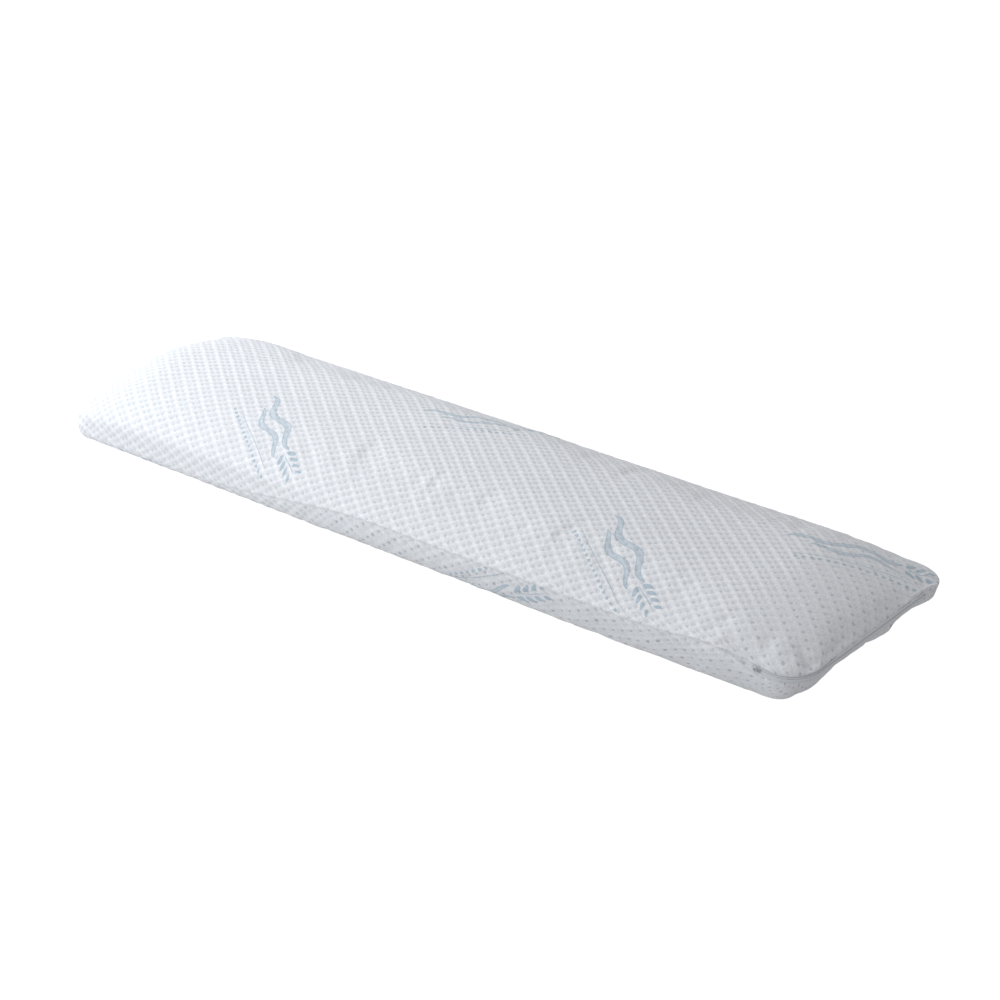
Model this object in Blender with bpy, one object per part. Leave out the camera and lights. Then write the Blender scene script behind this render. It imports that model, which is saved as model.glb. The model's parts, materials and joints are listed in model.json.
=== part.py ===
"""A long flat bed pillow in a zipped knit cover, lying on its base.

The pillow body is one filled solid. Two panels meet in a seam that runs all the way round at
about half height. The seam is drawn in, and along one short end it opens into a deeper channel,
which holds the zip: two tapes, the coil between them, a slider and its pull.

+X runs along the pillow, the zipped end is at +X, and +Z is up. The origin is under the middle.
"""
import math

import bmesh
import bpy
import numpy as np
from mathutils import Matrix, Vector

# ---- driving dimensions, in metres ----
LENGTH = 1.350
WIDTH = 0.352
CROWN_HEIGHT = 0.1005           # top of the filled cover above the surface it lies on
CROWN_TAPER = 0.0030            # the filling is this much thinner towards the zipped end

SEAM_HEIGHT = 0.0505            # of the seam along the two long sides
SEAM_HEIGHT_ZIP_END = 0.0430    # it sags at both short ends
SEAM_HEIGHT_PLAIN_END = 0.0400
SEAM_SAG_LENGTH = 0.170         # the sag starts this far from each end
SEAM_RISE = 0.0105              # the seam is pulled up where the zip starts
SEAM_RISE_AT = 0.548
SEAM_RISE_SPREAD = 0.070
SEAM_SLIP_HEIGHT = 0.0125       # towards the plain end the near seam slips down the side to this height
SEAM_SLIP_FROM_X, SEAM_SLIP_AT_X = -0.020, -0.420
SEAM_SLIP_REACH = 0.130         # how far over the side the upper panel follows it

# How far each panel takes to round over from the seam to its full height.
CROWN_REACH_SIDE = 0.168
CROWN_REACH_ZIP_END = 0.152
CROWN_REACH_PLAIN_END = 0.108
CROWN_FALL, CROWN_BULGE = 2.12, 1.68
BASE_REACH_SIDE = 0.022
BASE_REACH_ZIP_END = 0.106
BASE_REACH_PLAIN_END = 0.066
BASE_FALL = 1.96
BASE_BULGE_SIDE, BASE_BULGE_ZIP_END, BASE_BULGE_PLAIN_END = 2.97, 1.55, 2.4
BASE_CORNER_FULLNESS = 4.0
BASE_CORNER_LENGTH = 0.050      # the base is as full as along the sides this near to a side
CORNER_FULLNESS = 0.86          # how full the filling is in the corners, well inside the seam
CORNER_FULLNESS_AT_SEAM = 3.0   # and how much fuller right at the seam
CORNER_SOFT_REACH = 0.090       # how far a corner that has lost filling slopes down

# One row for each corner: which end, which side, radius of the sewn corner, share of filling lost.
CORNERS = (
    (+1, -1, 0.0486, 0.00),
    (+1, +1, 0.0440, 0.56),
    (-1, -1, 0.0360, 0.05),
    (-1, +1, 0.0340, 0.40),
)

# The sides near the seam. One row for each ring: height above or below the seam, extra inset.
PLAIN_SEAM_ROWS = ((0.0000, 0.0018), (0.0014, 0.0010), (0.0038, 0.0001), (0.0080, 0.0))
LIP_ROWS = ((0.0011, -0.0016), (0.0042, -0.0013))    # the same past the edge of the zip's channel
TOP_RINGS = (0.26, 0.36, 0.48, 0.61, 0.75)           # share of the height that each ring has gained
BASE_RINGS = (0.30, 0.46, 0.64, 0.80, 0.92, 1.00)
CELLS_LONG, CELLS_WIDE = 64, 20

# Soft folds. One row for each: panel, both ends of its line, half width, depth (below 0 bulges).
FOLDS = (
    ("top", (0.664, -0.140, 0.058), (0.648, -0.118, 0.080), 0.012, 0.0050),
    ("top", (0.668, -0.060, 0.053), (0.668, -0.100, 0.053), 0.010, 0.0020),
    ("top", (0.664, 0.128, 0.054), (0.615, 0.118, 0.078), 0.013, 0.0065),
    ("top", (0.655, 0.080, 0.060), (0.600, 0.060, 0.092), 0.020, 0.0022),
    ("top", (0.560, -0.166, 0.072), (0.606, -0.170, 0.058), 0.009, 0.0032),
    ("top", (0.575, -0.150, 0.083), (0.620, -0.155, 0.074), 0.016, -0.0018),
    ("top", (-0.640, -0.130, 0.070), (-0.590, -0.105, 0.092), 0.016, 0.0022),
    ("top", (-0.645, 0.120, 0.066), (-0.600, 0.100, 0.088), 0.016, 0.0024),
    ("base", (0.666, 0.026, 0.031), (0.666, 0.004, 0.031), 0.016, -0.0042),
)
SLACK = 0.0011                  # long soft waves in the cover, half their height

# ---- zip ----
SLIT_START_X = 0.574            # the channel opens here as a narrow slit, on the long side at -Y
ZIP_START_X = 0.602             # the tapes and the coil start here
ZIP_END_Y = 0.114               # and end here, on the short end at +X
CHANNEL_END_Y = 0.124
CHANNEL_FADE = 0.022            # the channel closes over this length past each of its ends
CHANNEL_DEPTH = 0.0040
SLIT_HALF_HEIGHT = 0.0014
CHANNEL_HALF_HEIGHT_SIDE = 0.0038
CHANNEL_HALF_HEIGHT_END = 0.0056
CHANNEL_WIDENS_FROM_Y, CHANNEL_WIDE_AT_Y = -0.125, -0.080
GAP = 0.0003                    # between one piece and the next
TAPE_THICKNESS = 0.0008
COIL_THICKNESS, COIL_HALF_HEIGHT = 0.0019, 0.0014
SLIDER_AT_X = 0.6115
SLIDER_LENGTH, SLIDER_HALF_HEIGHT, SLIDER_PLATE = 0.0085, 0.0030, 0.0009
BAIL_WIRE, BAIL_HALF_SPAN, BAIL_ROOM = 0.0008, 0.0015, 0.0015
PULL_OUTER_RADIUS, PULL_HOLE_RADIUS, PULL_THICKNESS = 0.0034, 0.0019, 0.0009
SWEEP_STEP = 0.0055

HALF_LENGTH, HALF_WIDTH = LENGTH / 2, WIDTH / 2

# Colours, roughness and metallic value of each material.
FINISHES = {
    "knit_cover": ((0.80, 0.82, 0.85), 0.90, 0.0),
    "zip_tape": ((0.84, 0.85, 0.87), 0.85, 0.0),
    "zip_coil": ((0.72, 0.75, 0.80), 0.45, 0.0),
    "zip_metal": ((0.62, 0.63, 0.65), 0.30, 1.0),
}


# ---- scene helpers ----
def clear_scene():
    for item in list(bpy.data.objects):
        bpy.data.objects.remove(item, do_unlink=True)


def material(name):
    colour, roughness, metallic = FINISHES[name]
    made = bpy.data.materials.get(name) or bpy.data.materials.new(name)
    made.use_nodes = True
    shader = made.node_tree.nodes["Principled BSDF"]
    shader.inputs["Base Color"].default_value = (*colour, 1.0)
    shader.inputs["Roughness"].default_value = roughness
    shader.inputs["Metallic"].default_value = metallic
    return made


def add_object(name, bm, finish, location=(0, 0, 0), parent=None):
    bmesh.ops.recalc_face_normals(bm, faces=bm.faces)
    mesh = bpy.data.meshes.new(name)
    bm.to_mesh(mesh)
    bm.free()
    mesh.materials.append(material(finish))
    mesh.shade_smooth()
    mesh.set_sharp_from_angle(angle=math.radians(40))
    made = bpy.data.objects.new(name, mesh)
    made.location = location
    made.parent = parent
    bpy.context.scene.collection.objects.link(made)
    return made


# ---- plan, seam and crown ----
def smooth(value):
    value = min(max(value, 0.0), 1.0)
    return value * value * (3 - 2 * value)


def corner_of(s, t):
    return next(row for row in CORNERS if row[0] == (1 if s > 0 else -1) and row[1] == (1 if t > 0 else -1))


def plan(s, t):
    """Plan position of panel coordinates s and t, each from -1 to 1, with rounded corners."""
    radius = corner_of(s, t)[2]
    x, y = HALF_LENGTH * s, HALF_WIDTH * t
    past_x, past_y = abs(x) - (HALF_LENGTH - radius), abs(y) - (HALF_WIDTH - radius)
    if past_x > 0 and past_y > 0:
        squeeze = max(past_x, past_y) / math.hypot(past_x, past_y)
        x = math.copysign(HALF_LENGTH - radius + past_x * squeeze, x)
        y = math.copysign(HALF_WIDTH - radius + past_y * squeeze, y)
    return Vector((x, y, 0.0))


def rim_ahead(s, t, step):
    """The rim coordinates a short step further on, counter-clockwise seen from above."""
    if t <= -1 and s < 1:
        return min(s + step / HALF_LENGTH, 1.0), t
    if s >= 1 and t < 1:
        return s, min(t + step / HALF_WIDTH, 1.0)
    if t >= 1 and s > -1:
        return max(s - step / HALF_LENGTH, -1.0), t
    return s, max(t - step / HALF_WIDTH, -1.0)


def rim_behind(s, t, step):
    mirrored = rim_ahead(-s, t, step)
    return -mirrored[0], mirrored[1]


def outward(s, t):
    """Unit vector in plan that points out of the pillow at the rim."""
    along = plan(*rim_ahead(s, t, 0.002)) - plan(*rim_behind(s, t, 0.002))
    return Vector((along.y, -along.x, 0.0)).normalized()


def seam_height(s, t):
    x = HALF_LENGTH * s
    to_zip_end = smooth((x - HALF_LENGTH) / SEAM_SAG_LENGTH + 1)
    to_plain_end = smooth((-x - HALF_LENGTH) / SEAM_SAG_LENGTH + 1)
    height = SEAM_HEIGHT + (SEAM_HEIGHT_ZIP_END - SEAM_HEIGHT) * to_zip_end
    height += (SEAM_HEIGHT_PLAIN_END - SEAM_HEIGHT) * to_plain_end
    pull = math.exp(-((x - SEAM_RISE_AT) / SEAM_RISE_SPREAD) ** 2)
    return height + SEAM_RISE * pull * smooth(-t * 2 - 0.9) * (1 - to_zip_end ** 2)


def joined_reach(u, v):
    """One distance from the seam, 0 to 1, out of the distances from an end and from a side."""
    u, v = max(min(u, 1.0), 1e-6), max(min(v, 1.0), 1e-6)
    fullness = CORNER_FULLNESS + CORNER_FULLNESS_AT_SEAM * math.exp(-(max(u, v) / 0.12) ** 2)
    return (u ** -fullness + v ** -fullness - 1) ** (-1 / fullness)


def rise(reach, fall, bulge):
    return (1 - (1 - min(reach, 1.0)) ** fall) ** (1 / bulge)


def reach_for(share, fall, bulge):
    return 1 - (1 - share ** bulge) ** (1 / fall)


def slack(x, y):
    """Long soft waves of the cover, the same on every run."""
    wave = math.sin(9.1 * x + 14.0 * y + 0.6) + 0.7 * math.sin(17.3 * x - 9.0 * y + 2.1)
    return SLACK * (wave + 0.5 * math.sin(31.0 * x + 21.0 * y + 4.0)) / 2.2


def corner_share(s, t):
    """The share of the filling's height that is left near a soft corner."""
    from_end, from_side = HALF_LENGTH * (1 - abs(s)), HALF_WIDTH * (1 - abs(t))
    return 1 - corner_of(s, t)[3] * math.exp(-(math.hypot(from_end, from_side) / CORNER_SOFT_REACH) ** 2)


def top_point(s, t):
    from_end, from_side = HALF_LENGTH * (1 - abs(s)), HALF_WIDTH * (1 - abs(t))
    reach_x = CROWN_REACH_ZIP_END if s > 0 else CROWN_REACH_PLAIN_END
    share = rise(joined_reach(from_end / reach_x, from_side / CROWN_REACH_SIDE), CROWN_FALL, CROWN_BULGE)
    share *= corner_share(s, t)
    point = plan(s, t)
    seam = seam_height(s, t)
    crown = CROWN_HEIGHT - SLACK + slack(point.x, point.y) - CROWN_TAPER * smooth(point.x / 0.55)
    point.z = seam + (crown - seam) * share
    return point


def base_point(s, t):
    from_end, from_side = HALF_LENGTH * (1 - abs(s)), HALF_WIDTH * (1 - abs(t))
    reach, bulge = (BASE_REACH_ZIP_END, BASE_BULGE_ZIP_END) if s > 0 else (BASE_REACH_PLAIN_END, BASE_BULGE_PLAIN_END)
    bulge += (BASE_BULGE_SIDE - bulge) * math.exp(-(from_side / BASE_CORNER_LENGTH) ** 2)
    end_share = max(rise(from_end / reach, BASE_FALL, bulge), 1e-6)
    side_share = max(rise(from_side / BASE_REACH_SIDE, BASE_FALL, BASE_BULGE_SIDE), 1e-6)
    full = -BASE_CORNER_FULLNESS
    share = (end_share ** full + side_share ** full - 1) ** (1 / full)
    point = plan(s, t)
    point.z = seam_height(s, t) * (1 - share) if share < 0.9999 else 0.0
    return point


def channel_share(s, t):
    """1 where the rim carries the channel of the zip, 0 away from it."""
    point = plan(s, t)
    if point.x < SLIT_START_X - CHANNEL_FADE or t > 0.99 or (t > -0.99 and s < 0.99):
        return 0.0
    opened = smooth((point.x - SLIT_START_X) / CHANNEL_FADE + 1)
    return opened * smooth((CHANNEL_END_Y - point.y) / CHANNEL_FADE + 1)


def channel_half_height(s, t):
    """Half the channel's height: a slit at first, then as wide as the slider, then as the tapes."""
    point = plan(s, t)
    past_slit = smooth((point.x - SLIT_START_X) / (ZIP_START_X - 0.004 - SLIT_START_X))
    wide = smooth((point.y - CHANNEL_WIDENS_FROM_Y) / (CHANNEL_WIDE_AT_Y - CHANNEL_WIDENS_FROM_Y))
    height = SLIT_HALF_HEIGHT + (CHANNEL_HALF_HEIGHT_SIDE - SLIT_HALF_HEIGHT) * past_slit
    return height + (CHANNEL_HALF_HEIGHT_END - CHANNEL_HALF_HEIGHT_SIDE) * wide


# ---- pillow body ----
def panel_sides(top):
    """For the zipped end, the plain end and the long sides: reach, fall and bulge of the panel."""
    if top:
        reaches = CROWN_REACH_ZIP_END, CROWN_REACH_PLAIN_END, CROWN_REACH_SIDE
        return [(reach, CROWN_FALL, CROWN_BULGE) for reach in reaches]
    return [(BASE_REACH_ZIP_END, BASE_FALL, BASE_BULGE_ZIP_END),
            (BASE_REACH_PLAIN_END, BASE_FALL, BASE_BULGE_PLAIN_END),
            (BASE_REACH_SIDE, BASE_FALL, BASE_BULGE_SIDE)]


def ring_insets(top):
    """Insets of every ring from the rim inwards, in panel coordinates, for both ends and the sides."""
    halves = HALF_LENGTH, HALF_LENGTH, HALF_WIDTH
    rows = [(0.0, 0.0, 0.0)] * len(PLAIN_SEAM_ROWS)
    for share in TOP_RINGS if top else BASE_RINGS:
        rows.append([reach * reach_for(share, fall, bulge) / half
                     for (reach, fall, bulge), half in zip(panel_sides(top), halves)])
    return rows


def spread(value):
    """Even steps from -1 to 1 drawn closer together towards both ends."""
    return math.copysign(1 - (1 - abs(value)) ** 1.45, value)


def at_inset(s0, t0, inset):
    return s0 * (1 - (inset[0] if s0 > 0 else inset[1])), t0 * (1 - inset[2])


def laid_out_panel(top):
    """The panel as a flat pattern: a grid with a border of rings, each vertex told its ring."""
    insets = ring_insets(top)
    bm = bmesh.new()
    ring = bm.verts.layers.int.new("ring")
    bmesh.ops.create_grid(bm, x_segments=CELLS_LONG, y_segments=CELLS_WIDE, size=1.0)
    home = {vert: (spread(vert.co.x), spread(vert.co.y)) for vert in bm.verts}
    for vert in bm.verts:
        vert[ring] = len(insets)
        vert.co.xy = at_inset(*home[vert], insets[-1])
    if not top:
        bmesh.ops.dissolve_faces(bm, faces=bm.faces[:], use_verts=False)
    for number in reversed(range(len(insets) - 1)):
        border = [edge for edge in bm.edges if edge.is_boundary]
        corners = {tuple(vert.co.xy): home[vert] for edge in border for vert in edge.verts}
        made = bmesh.ops.extrude_edge_only(bm, edges=border)
        for vert in (item for item in made["geom"] if isinstance(item, bmesh.types.BMVert)):
            home[vert] = corners[tuple(vert.co.xy)]
            vert[ring] = number
            vert.co.xy = at_inset(*home[vert], insets[number])
            if number < len(PLAIN_SEAM_ROWS):
                vert.co.xy = [value * (1 - 0.004 * number) for value in home[vert]]
    return bm, ring, home


def seam_row_point(s0, t0, number, top):
    """A point of the first rings, which carry the sewn channel and the deeper channel of the zip."""
    zip_end, plain_end, side = panel_sides(top)
    end = zip_end if s0 > 0 else plain_end
    seam = seam_height(s0, t0)
    room = CROWN_HEIGHT - seam if top else seam
    at_end = abs(outward(s0, t0).x) ** 2

    def profile(height):
        at = [reach * reach_for(height / room, fall, bulge) for reach, fall, bulge in (end, side)]
        return at[1] + (at[0] - at[1]) * at_end

    height, inset = PLAIN_SEAM_ROWS[number]
    inset += profile(height)
    if top:
        height *= corner_share(s0, t0)
    share = channel_share(s0, t0)
    if share > 0:
        edge = channel_half_height(s0, t0)
        if number < 2:
            lip_height, lip_inset = number * edge, CHANNEL_DEPTH
        else:
            lip_height = edge + LIP_ROWS[number - 2][0]
            lip_inset = max(profile(lip_height) + LIP_ROWS[number - 2][1], 0.0004)
        height += (lip_height - height) * share
        inset += (lip_inset - inset) * share
    point = plan(s0, t0) - outward(s0, t0) * inset
    point.z = seam + (height if top else -height)
    return point


def rim_under(s, t):
    """The rim position straight out from a panel position, on a diagonal next to a corner."""
    from_end, from_side = HALF_LENGTH * (1 - abs(s)), HALF_WIDTH * (1 - abs(t))
    nearer = min(from_end, from_side)
    return math.copysign(1 - (from_end - nearer) / HALF_LENGTH, s), math.copysign(1 - (from_side - nearer) / HALF_WIDTH, t)


def slip_share(s, t):
    """How far the seam has slipped down, 0 to 1: fully on the near side of the plain end."""
    along = (SEAM_SLIP_FROM_X - HALF_LENGTH * s) / (SEAM_SLIP_FROM_X - SEAM_SLIP_AT_X)
    return smooth(along) * smooth(0.75 * (1 - t))


def side_curve(s, t, at_end):
    """The plain side from its foot up: distance from the widest line, height over it, inset from it."""
    widest = seam_height(s, t)
    heights, insets = [], []
    for top, shares in ((False, np.cos(np.linspace(0, math.pi / 2, 33))), (True, np.linspace(0.02, 0.98, 49))):
        zip_end, plain_end, side = panel_sides(top)
        end = zip_end if s > 0 else plain_end
        for share in shares:
            at = [reach * reach_for(share, fall, bulge) for reach, fall, bulge in (end, side)]
            insets.append(at[1] + (at[0] - at[1]) * at_end)
            heights.append((CROWN_HEIGHT - widest if top else -widest) * share)
    lengths = np.concatenate(([0], np.cumsum(np.hypot(np.diff(heights), np.diff(insets)))))
    return lengths - lengths[32], heights, insets


def slipped(point, s, t, top):
    """Where the slipped seam takes a point: along the side's own curve, so that the side keeps its shape."""
    rim = rim_under(s, t)
    share = slip_share(*rim)
    if share <= 0:
        return point
    out = outward(*rim)
    lengths, heights, insets = side_curve(*rim, out.x ** 2)
    widest = seam_height(*rim)
    slip = -np.interp((SEAM_SLIP_HEIGHT - widest) * share, heights, lengths)
    at = np.interp(point.z - widest, heights, lengths)
    moved = at - slip * (max(1 - at / min(SEAM_SLIP_REACH, lengths[-1]), 0) if top else 1 - at / lengths[0])
    height, inset = (np.interp(moved, lengths, values) - np.interp(at, lengths, values) for values in (heights, insets))
    found = point - out * float(inset)
    found.z = max(point.z + float(height), 0.0)
    return found


def shaped_panel(top):
    bm, ring, home = laid_out_panel(top)
    place = top_point if top else base_point
    for vert in bm.verts:
        if vert[ring] < len(PLAIN_SEAM_ROWS):
            vert.co = slipped(seam_row_point(*home[vert], vert[ring], top), *home[vert], top)
        else:
            s, t = vert.co.xy
            vert.co = slipped(place(s, t), s, t, top)
    if not top:
        bmesh.ops.reverse_faces(bm, faces=bm.faces)
    bm.normal_update()
    fold_panel(bm, ring, "top" if top else "base")
    return bm


def fold_panel(bm, ring, panel):
    """Presses the soft folds in along the surface's own normals, clear of the channel and the base."""
    moves = {}
    for vert in bm.verts:
        if vert[ring] < len(PLAIN_SEAM_ROWS) or vert.co.z < 0.004:
            continue
        depth = 0.0
        for name, start, end, half_width, fold_depth in FOLDS:
            if name != panel:
                continue
            start, end = Vector(start), Vector(end)
            share = min(max((vert.co - start).dot(end - start) / (end - start).length_squared, 0.0), 1.0)
            away = (vert.co - start.lerp(end, share)).length / half_width
            depth += fold_depth * math.exp(-away * away) * (1 - 0.4 * share)
        moves[vert] = vert.normal * -depth
    for vert, move in moves.items():
        vert.co += move


def pillow_body():
    bm = shaped_panel(top=True)
    base = shaped_panel(top=False)
    mesh = bpy.data.meshes.new("base_panel")
    base.to_mesh(mesh)
    base.free()
    bm.from_mesh(mesh)
    bpy.data.meshes.remove(mesh)
    rim = [vert for vert in bm.verts if vert.is_boundary]
    bmesh.ops.remove_doubles(bm, verts=rim, dist=0.00002)
    return add_object("pillow_body", bm, "knit_cover")


# ---- zip ----
def seam_frame(where, step=0.002):
    """At a rim position: the point on the seam line, and unit vectors along, out and up."""
    ahead, behind = rim_ahead(*where, step), rim_behind(*where, step)
    points = [plan(*spot) + Vector((0, 0, seam_height(*spot))) for spot in (behind, where, ahead)]
    out = outward(*where)
    along = (points[2] - points[0]).normalized()
    return points[1], along, out, out.cross(along).normalized()


def zip_stations():
    where = (ZIP_START_X / HALF_LENGTH, -1.0)
    stations = []
    while plan(*where).y < ZIP_END_Y:
        stations.append(where)
        where = rim_ahead(*where, SWEEP_STEP)
    return stations


def swept(stations, section):
    """A closed bar along the seam: section gives its corners as rows of inset and height."""
    bm = bmesh.new()
    loops = []
    for where in stations:
        point, _, out, up = seam_frame(where)
        loops.append([bm.verts.new(point - out * inset + up * height) for inset, height in section(where)])
    for loop, following in zip(loops, loops[1:]):
        for index, vert in enumerate(loop):
            other = (index + 1) % len(loop)
            bm.faces.new((vert, loop[other], following[other], following[index]))
    bmesh.ops.contextual_create(bm, geom=loops[0])
    bmesh.ops.contextual_create(bm, geom=loops[-1])
    return bm


def bar_section(front, back, low, high):
    return (front, low), (front, high), (back, high), (back, low)


def tape(side):
    """One tape of the zip, above (+1) or below (-1) the coil, on the channel's floor."""
    back = CHANNEL_DEPTH - GAP
    inner = COIL_HALF_HEIGHT + GAP

    def section(where):
        outer = channel_half_height(*where) - 0.0004
        return bar_section(back - TAPE_THICKNESS, back, side * inner, side * outer)

    return swept(zip_stations(), section)


def coil():
    back = CHANNEL_DEPTH - GAP
    section = bar_section(back - COIL_THICKNESS, back, -COIL_HALF_HEIGHT, COIL_HALF_HEIGHT)
    return swept(zip_stations(), lambda where: section)


def slider_frame():
    """An empty on the coil's front: its X runs along the zip, its Y up, its Z out of the pillow."""
    point, along, out, up = seam_frame((SLIDER_AT_X / HALF_LENGTH, -1.0))
    made = bpy.data.objects.new("slider_frame", None)
    made.location = point - out * (CHANNEL_DEPTH - GAP - COIL_THICKNESS)
    made.rotation_euler = Matrix((along, up, out)).transposed().to_euler()
    bpy.context.scene.collection.objects.link(made)
    return made


def slider_body_mesh():
    """A plate over the coil with a flange down each side of it, its outer corners rounded."""
    flange_in, flange_out = COIL_HALF_HEIGHT + GAP, SLIDER_HALF_HEIGHT
    foot = TAPE_THICKNESS + GAP - COIL_THICKNESS
    plate_under, plate_top = GAP, GAP + SLIDER_PLATE
    section = ((-flange_out, foot), (-flange_in, foot), (-flange_in, plate_under), (flange_in, plate_under),
               (flange_in, foot), (flange_out, foot), (flange_out, plate_top), (-flange_out, plate_top))
    bm = bmesh.new()
    end = bm.faces.new([bm.verts.new((-SLIDER_LENGTH / 2, y, z)) for y, z in section])
    made = bmesh.ops.extrude_face_region(bm, geom=[end])
    moved = [item for item in made["geom"] if isinstance(item, bmesh.types.BMVert)]
    bmesh.ops.translate(bm, verts=moved, vec=(SLIDER_LENGTH, 0, 0))
    outer = [edge for edge in bm.edges if all(abs(abs(vert.co.y) - flange_out) < 1e-6 for vert in edge.verts)
             and abs(edge.verts[0].co.z - edge.verts[1].co.z) > 1e-6]
    bmesh.ops.bevel(bm, geom=outer, offset=0.0008, segments=3, affect="EDGES", profile=0.5)
    return bm


def bail_mesh():
    """The arch on the slider that the pull hangs from, its feet sunk into the plate."""
    top = GAP + SLIDER_PLATE + BAIL_ROOM + BAIL_WIRE
    foot = GAP + SLIDER_PLATE / 2
    outer, inner = BAIL_HALF_SPAN + BAIL_WIRE / 2, BAIL_HALF_SPAN - BAIL_WIRE / 2
    arch = ((-outer, foot), (-outer, top - 0.0006), (-outer + 0.0006, top), (outer - 0.0006, top),
            (outer, top - 0.0006), (outer, foot), (inner, foot), (inner, top - BAIL_WIRE),
            (-inner, top - BAIL_WIRE), (-inner, foot))
    bm = bmesh.new()
    side = bm.faces.new([bm.verts.new((x, -0.0006, z)) for x, z in arch])
    made = bmesh.ops.extrude_face_region(bm, geom=[side])
    moved = [item for item in made["geom"] if isinstance(item, bmesh.types.BMVert)]
    bmesh.ops.translate(bm, verts=moved, vec=(0, 0.0012, 0))
    return bm


def zip_slider(frame):
    slider = add_object("zip_slider", slider_body_mesh(), "zip_metal", parent=frame)
    bail = add_object("bail_shape", bail_mesh(), "zip_metal", parent=frame)
    bail.hide_render = True
    bail.display_type = "WIRE"
    joined = slider.modifiers.new("bail", "BOOLEAN")
    joined.operation = "UNION"
    joined.object = bail
    return slider


def zip_pull(frame):
    """A small ring through the bail, lying along the zip."""
    bm = bmesh.new()
    low = GAP * 2 + SLIDER_PLATE
    corners = ((PULL_HOLE_RADIUS, low), (PULL_OUTER_RADIUS, low),
               (PULL_OUTER_RADIUS, low + PULL_THICKNESS), (PULL_HOLE_RADIUS, low + PULL_THICKNESS))
    section = [bm.verts.new((radius, 0, z)) for radius, z in corners]
    edges = [bm.edges.new((vert, section[(index + 1) % 4])) for index, vert in enumerate(section)]
    bmesh.ops.spin(bm, geom=section + edges, axis=(0, 0, 1), cent=(0, 0, 0), angle=math.tau, steps=24,
                   use_merge=True)
    middle = (PULL_HOLE_RADIUS + PULL_OUTER_RADIUS) / 2
    return add_object("zip_pull", bm, "zip_metal", location=(-middle, 0, 0), parent=frame)


def main():
    clear_scene()
    pillow_body()
    add_object("zip_tape_upper", tape(+1), "zip_tape")
    add_object("zip_tape_lower", tape(-1), "zip_tape")
    add_object("zip_coil", coil(), "zip_coil")
    frame = slider_frame()
    zip_slider(frame)
    zip_pull(frame)


if __name__ == "__main__":
    main()
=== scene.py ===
"""A long flat bed pillow in a zipped jacquard knit cover: its finished surfaces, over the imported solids.

The cover is one padded piece in the place of the solid pillow. Its knit has dimples, ribs and a
printed breeze pattern that follow the cloth. The seam is stitched all round, and the zip has real
teeth, a rounded slider and a ring. Sizes are in metres, +X runs towards the zipped end, +Z is up.
"""
import json
import math

import bmesh
import bpy
import numpy as np
from mathutils import Matrix, Vector

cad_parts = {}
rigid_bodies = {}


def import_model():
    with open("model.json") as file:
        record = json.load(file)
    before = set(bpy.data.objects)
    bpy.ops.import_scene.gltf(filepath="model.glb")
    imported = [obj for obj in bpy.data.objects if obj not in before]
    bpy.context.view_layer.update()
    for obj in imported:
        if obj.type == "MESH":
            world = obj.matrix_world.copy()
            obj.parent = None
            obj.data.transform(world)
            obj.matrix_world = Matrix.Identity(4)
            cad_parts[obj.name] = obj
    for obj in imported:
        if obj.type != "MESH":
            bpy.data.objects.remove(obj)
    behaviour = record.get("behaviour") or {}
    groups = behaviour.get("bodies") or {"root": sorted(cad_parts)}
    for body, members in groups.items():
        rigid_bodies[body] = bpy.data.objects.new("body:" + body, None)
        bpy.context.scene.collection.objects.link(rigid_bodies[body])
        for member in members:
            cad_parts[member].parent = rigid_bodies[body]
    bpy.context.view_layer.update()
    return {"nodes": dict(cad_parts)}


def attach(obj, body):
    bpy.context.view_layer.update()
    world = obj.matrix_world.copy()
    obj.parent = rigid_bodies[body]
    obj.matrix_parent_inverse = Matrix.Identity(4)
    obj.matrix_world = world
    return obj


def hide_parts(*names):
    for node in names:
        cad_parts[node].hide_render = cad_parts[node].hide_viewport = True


bl_info = {
    "name": "Long Bed Pillow",
    "version": (1, 0, 0),
    "blender": (4, 5, 0),
    "location": "3D View > Sidebar > Pillow",
    "description": "Dresses a long bed pillow: knit cover, stitched seam and coil zip",
    "category": "Object",
}

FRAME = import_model()

# ---- the form of the pillow, the same as its solid's ----
LENGTH, WIDTH = 1.350, 0.352
HALF_LENGTH, HALF_WIDTH = LENGTH / 2, WIDTH / 2
CROWN_HEIGHT, CROWN_TAPER, CROWN_TAPER_LENGTH = 0.1005, 0.0030, 0.55
SEAM_HEIGHT, SEAM_HEIGHT_ZIP_END, SEAM_HEIGHT_PLAIN_END = 0.0505, 0.0430, 0.0400
SEAM_SAG_LENGTH = 0.170
SEAM_RISE, SEAM_RISE_AT, SEAM_RISE_SPREAD = 0.0105, 0.548, 0.070    # a lift, on the near side only
SEAM_RISE_FROM_T, SEAM_RISE_FADE = -0.45, 0.5
SEAM_SLIP_HEIGHT, SEAM_SLIP_FROM_X, SEAM_SLIP_AT_X, SEAM_SLIP_REACH = 0.0125, -0.020, -0.420, 0.130
SEAM_SLIP_ACROSS = 0.75
CROWN_REACH_SIDE, CROWN_REACH_ZIP_END, CROWN_REACH_PLAIN_END = 0.168, 0.152, 0.108
CROWN_FALL, CROWN_BULGE = 2.12, 1.68
BASE_REACH_SIDE, BASE_REACH_ZIP_END, BASE_REACH_PLAIN_END = 0.022, 0.106, 0.066
BASE_FALL = 1.96
BASE_BULGE_SIDE, BASE_BULGE_ZIP_END, BASE_BULGE_PLAIN_END = 2.97, 1.55, 2.4
BASE_CORNER_FULLNESS, BASE_CORNER_LENGTH = 4.0, 0.050
CORNER_FULLNESS, CORNER_FULLNESS_AT_SEAM, CORNER_FULLNESS_REACH = 0.86, 3.0, 0.12
CORNER_SOFT_REACH = 0.090
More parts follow.
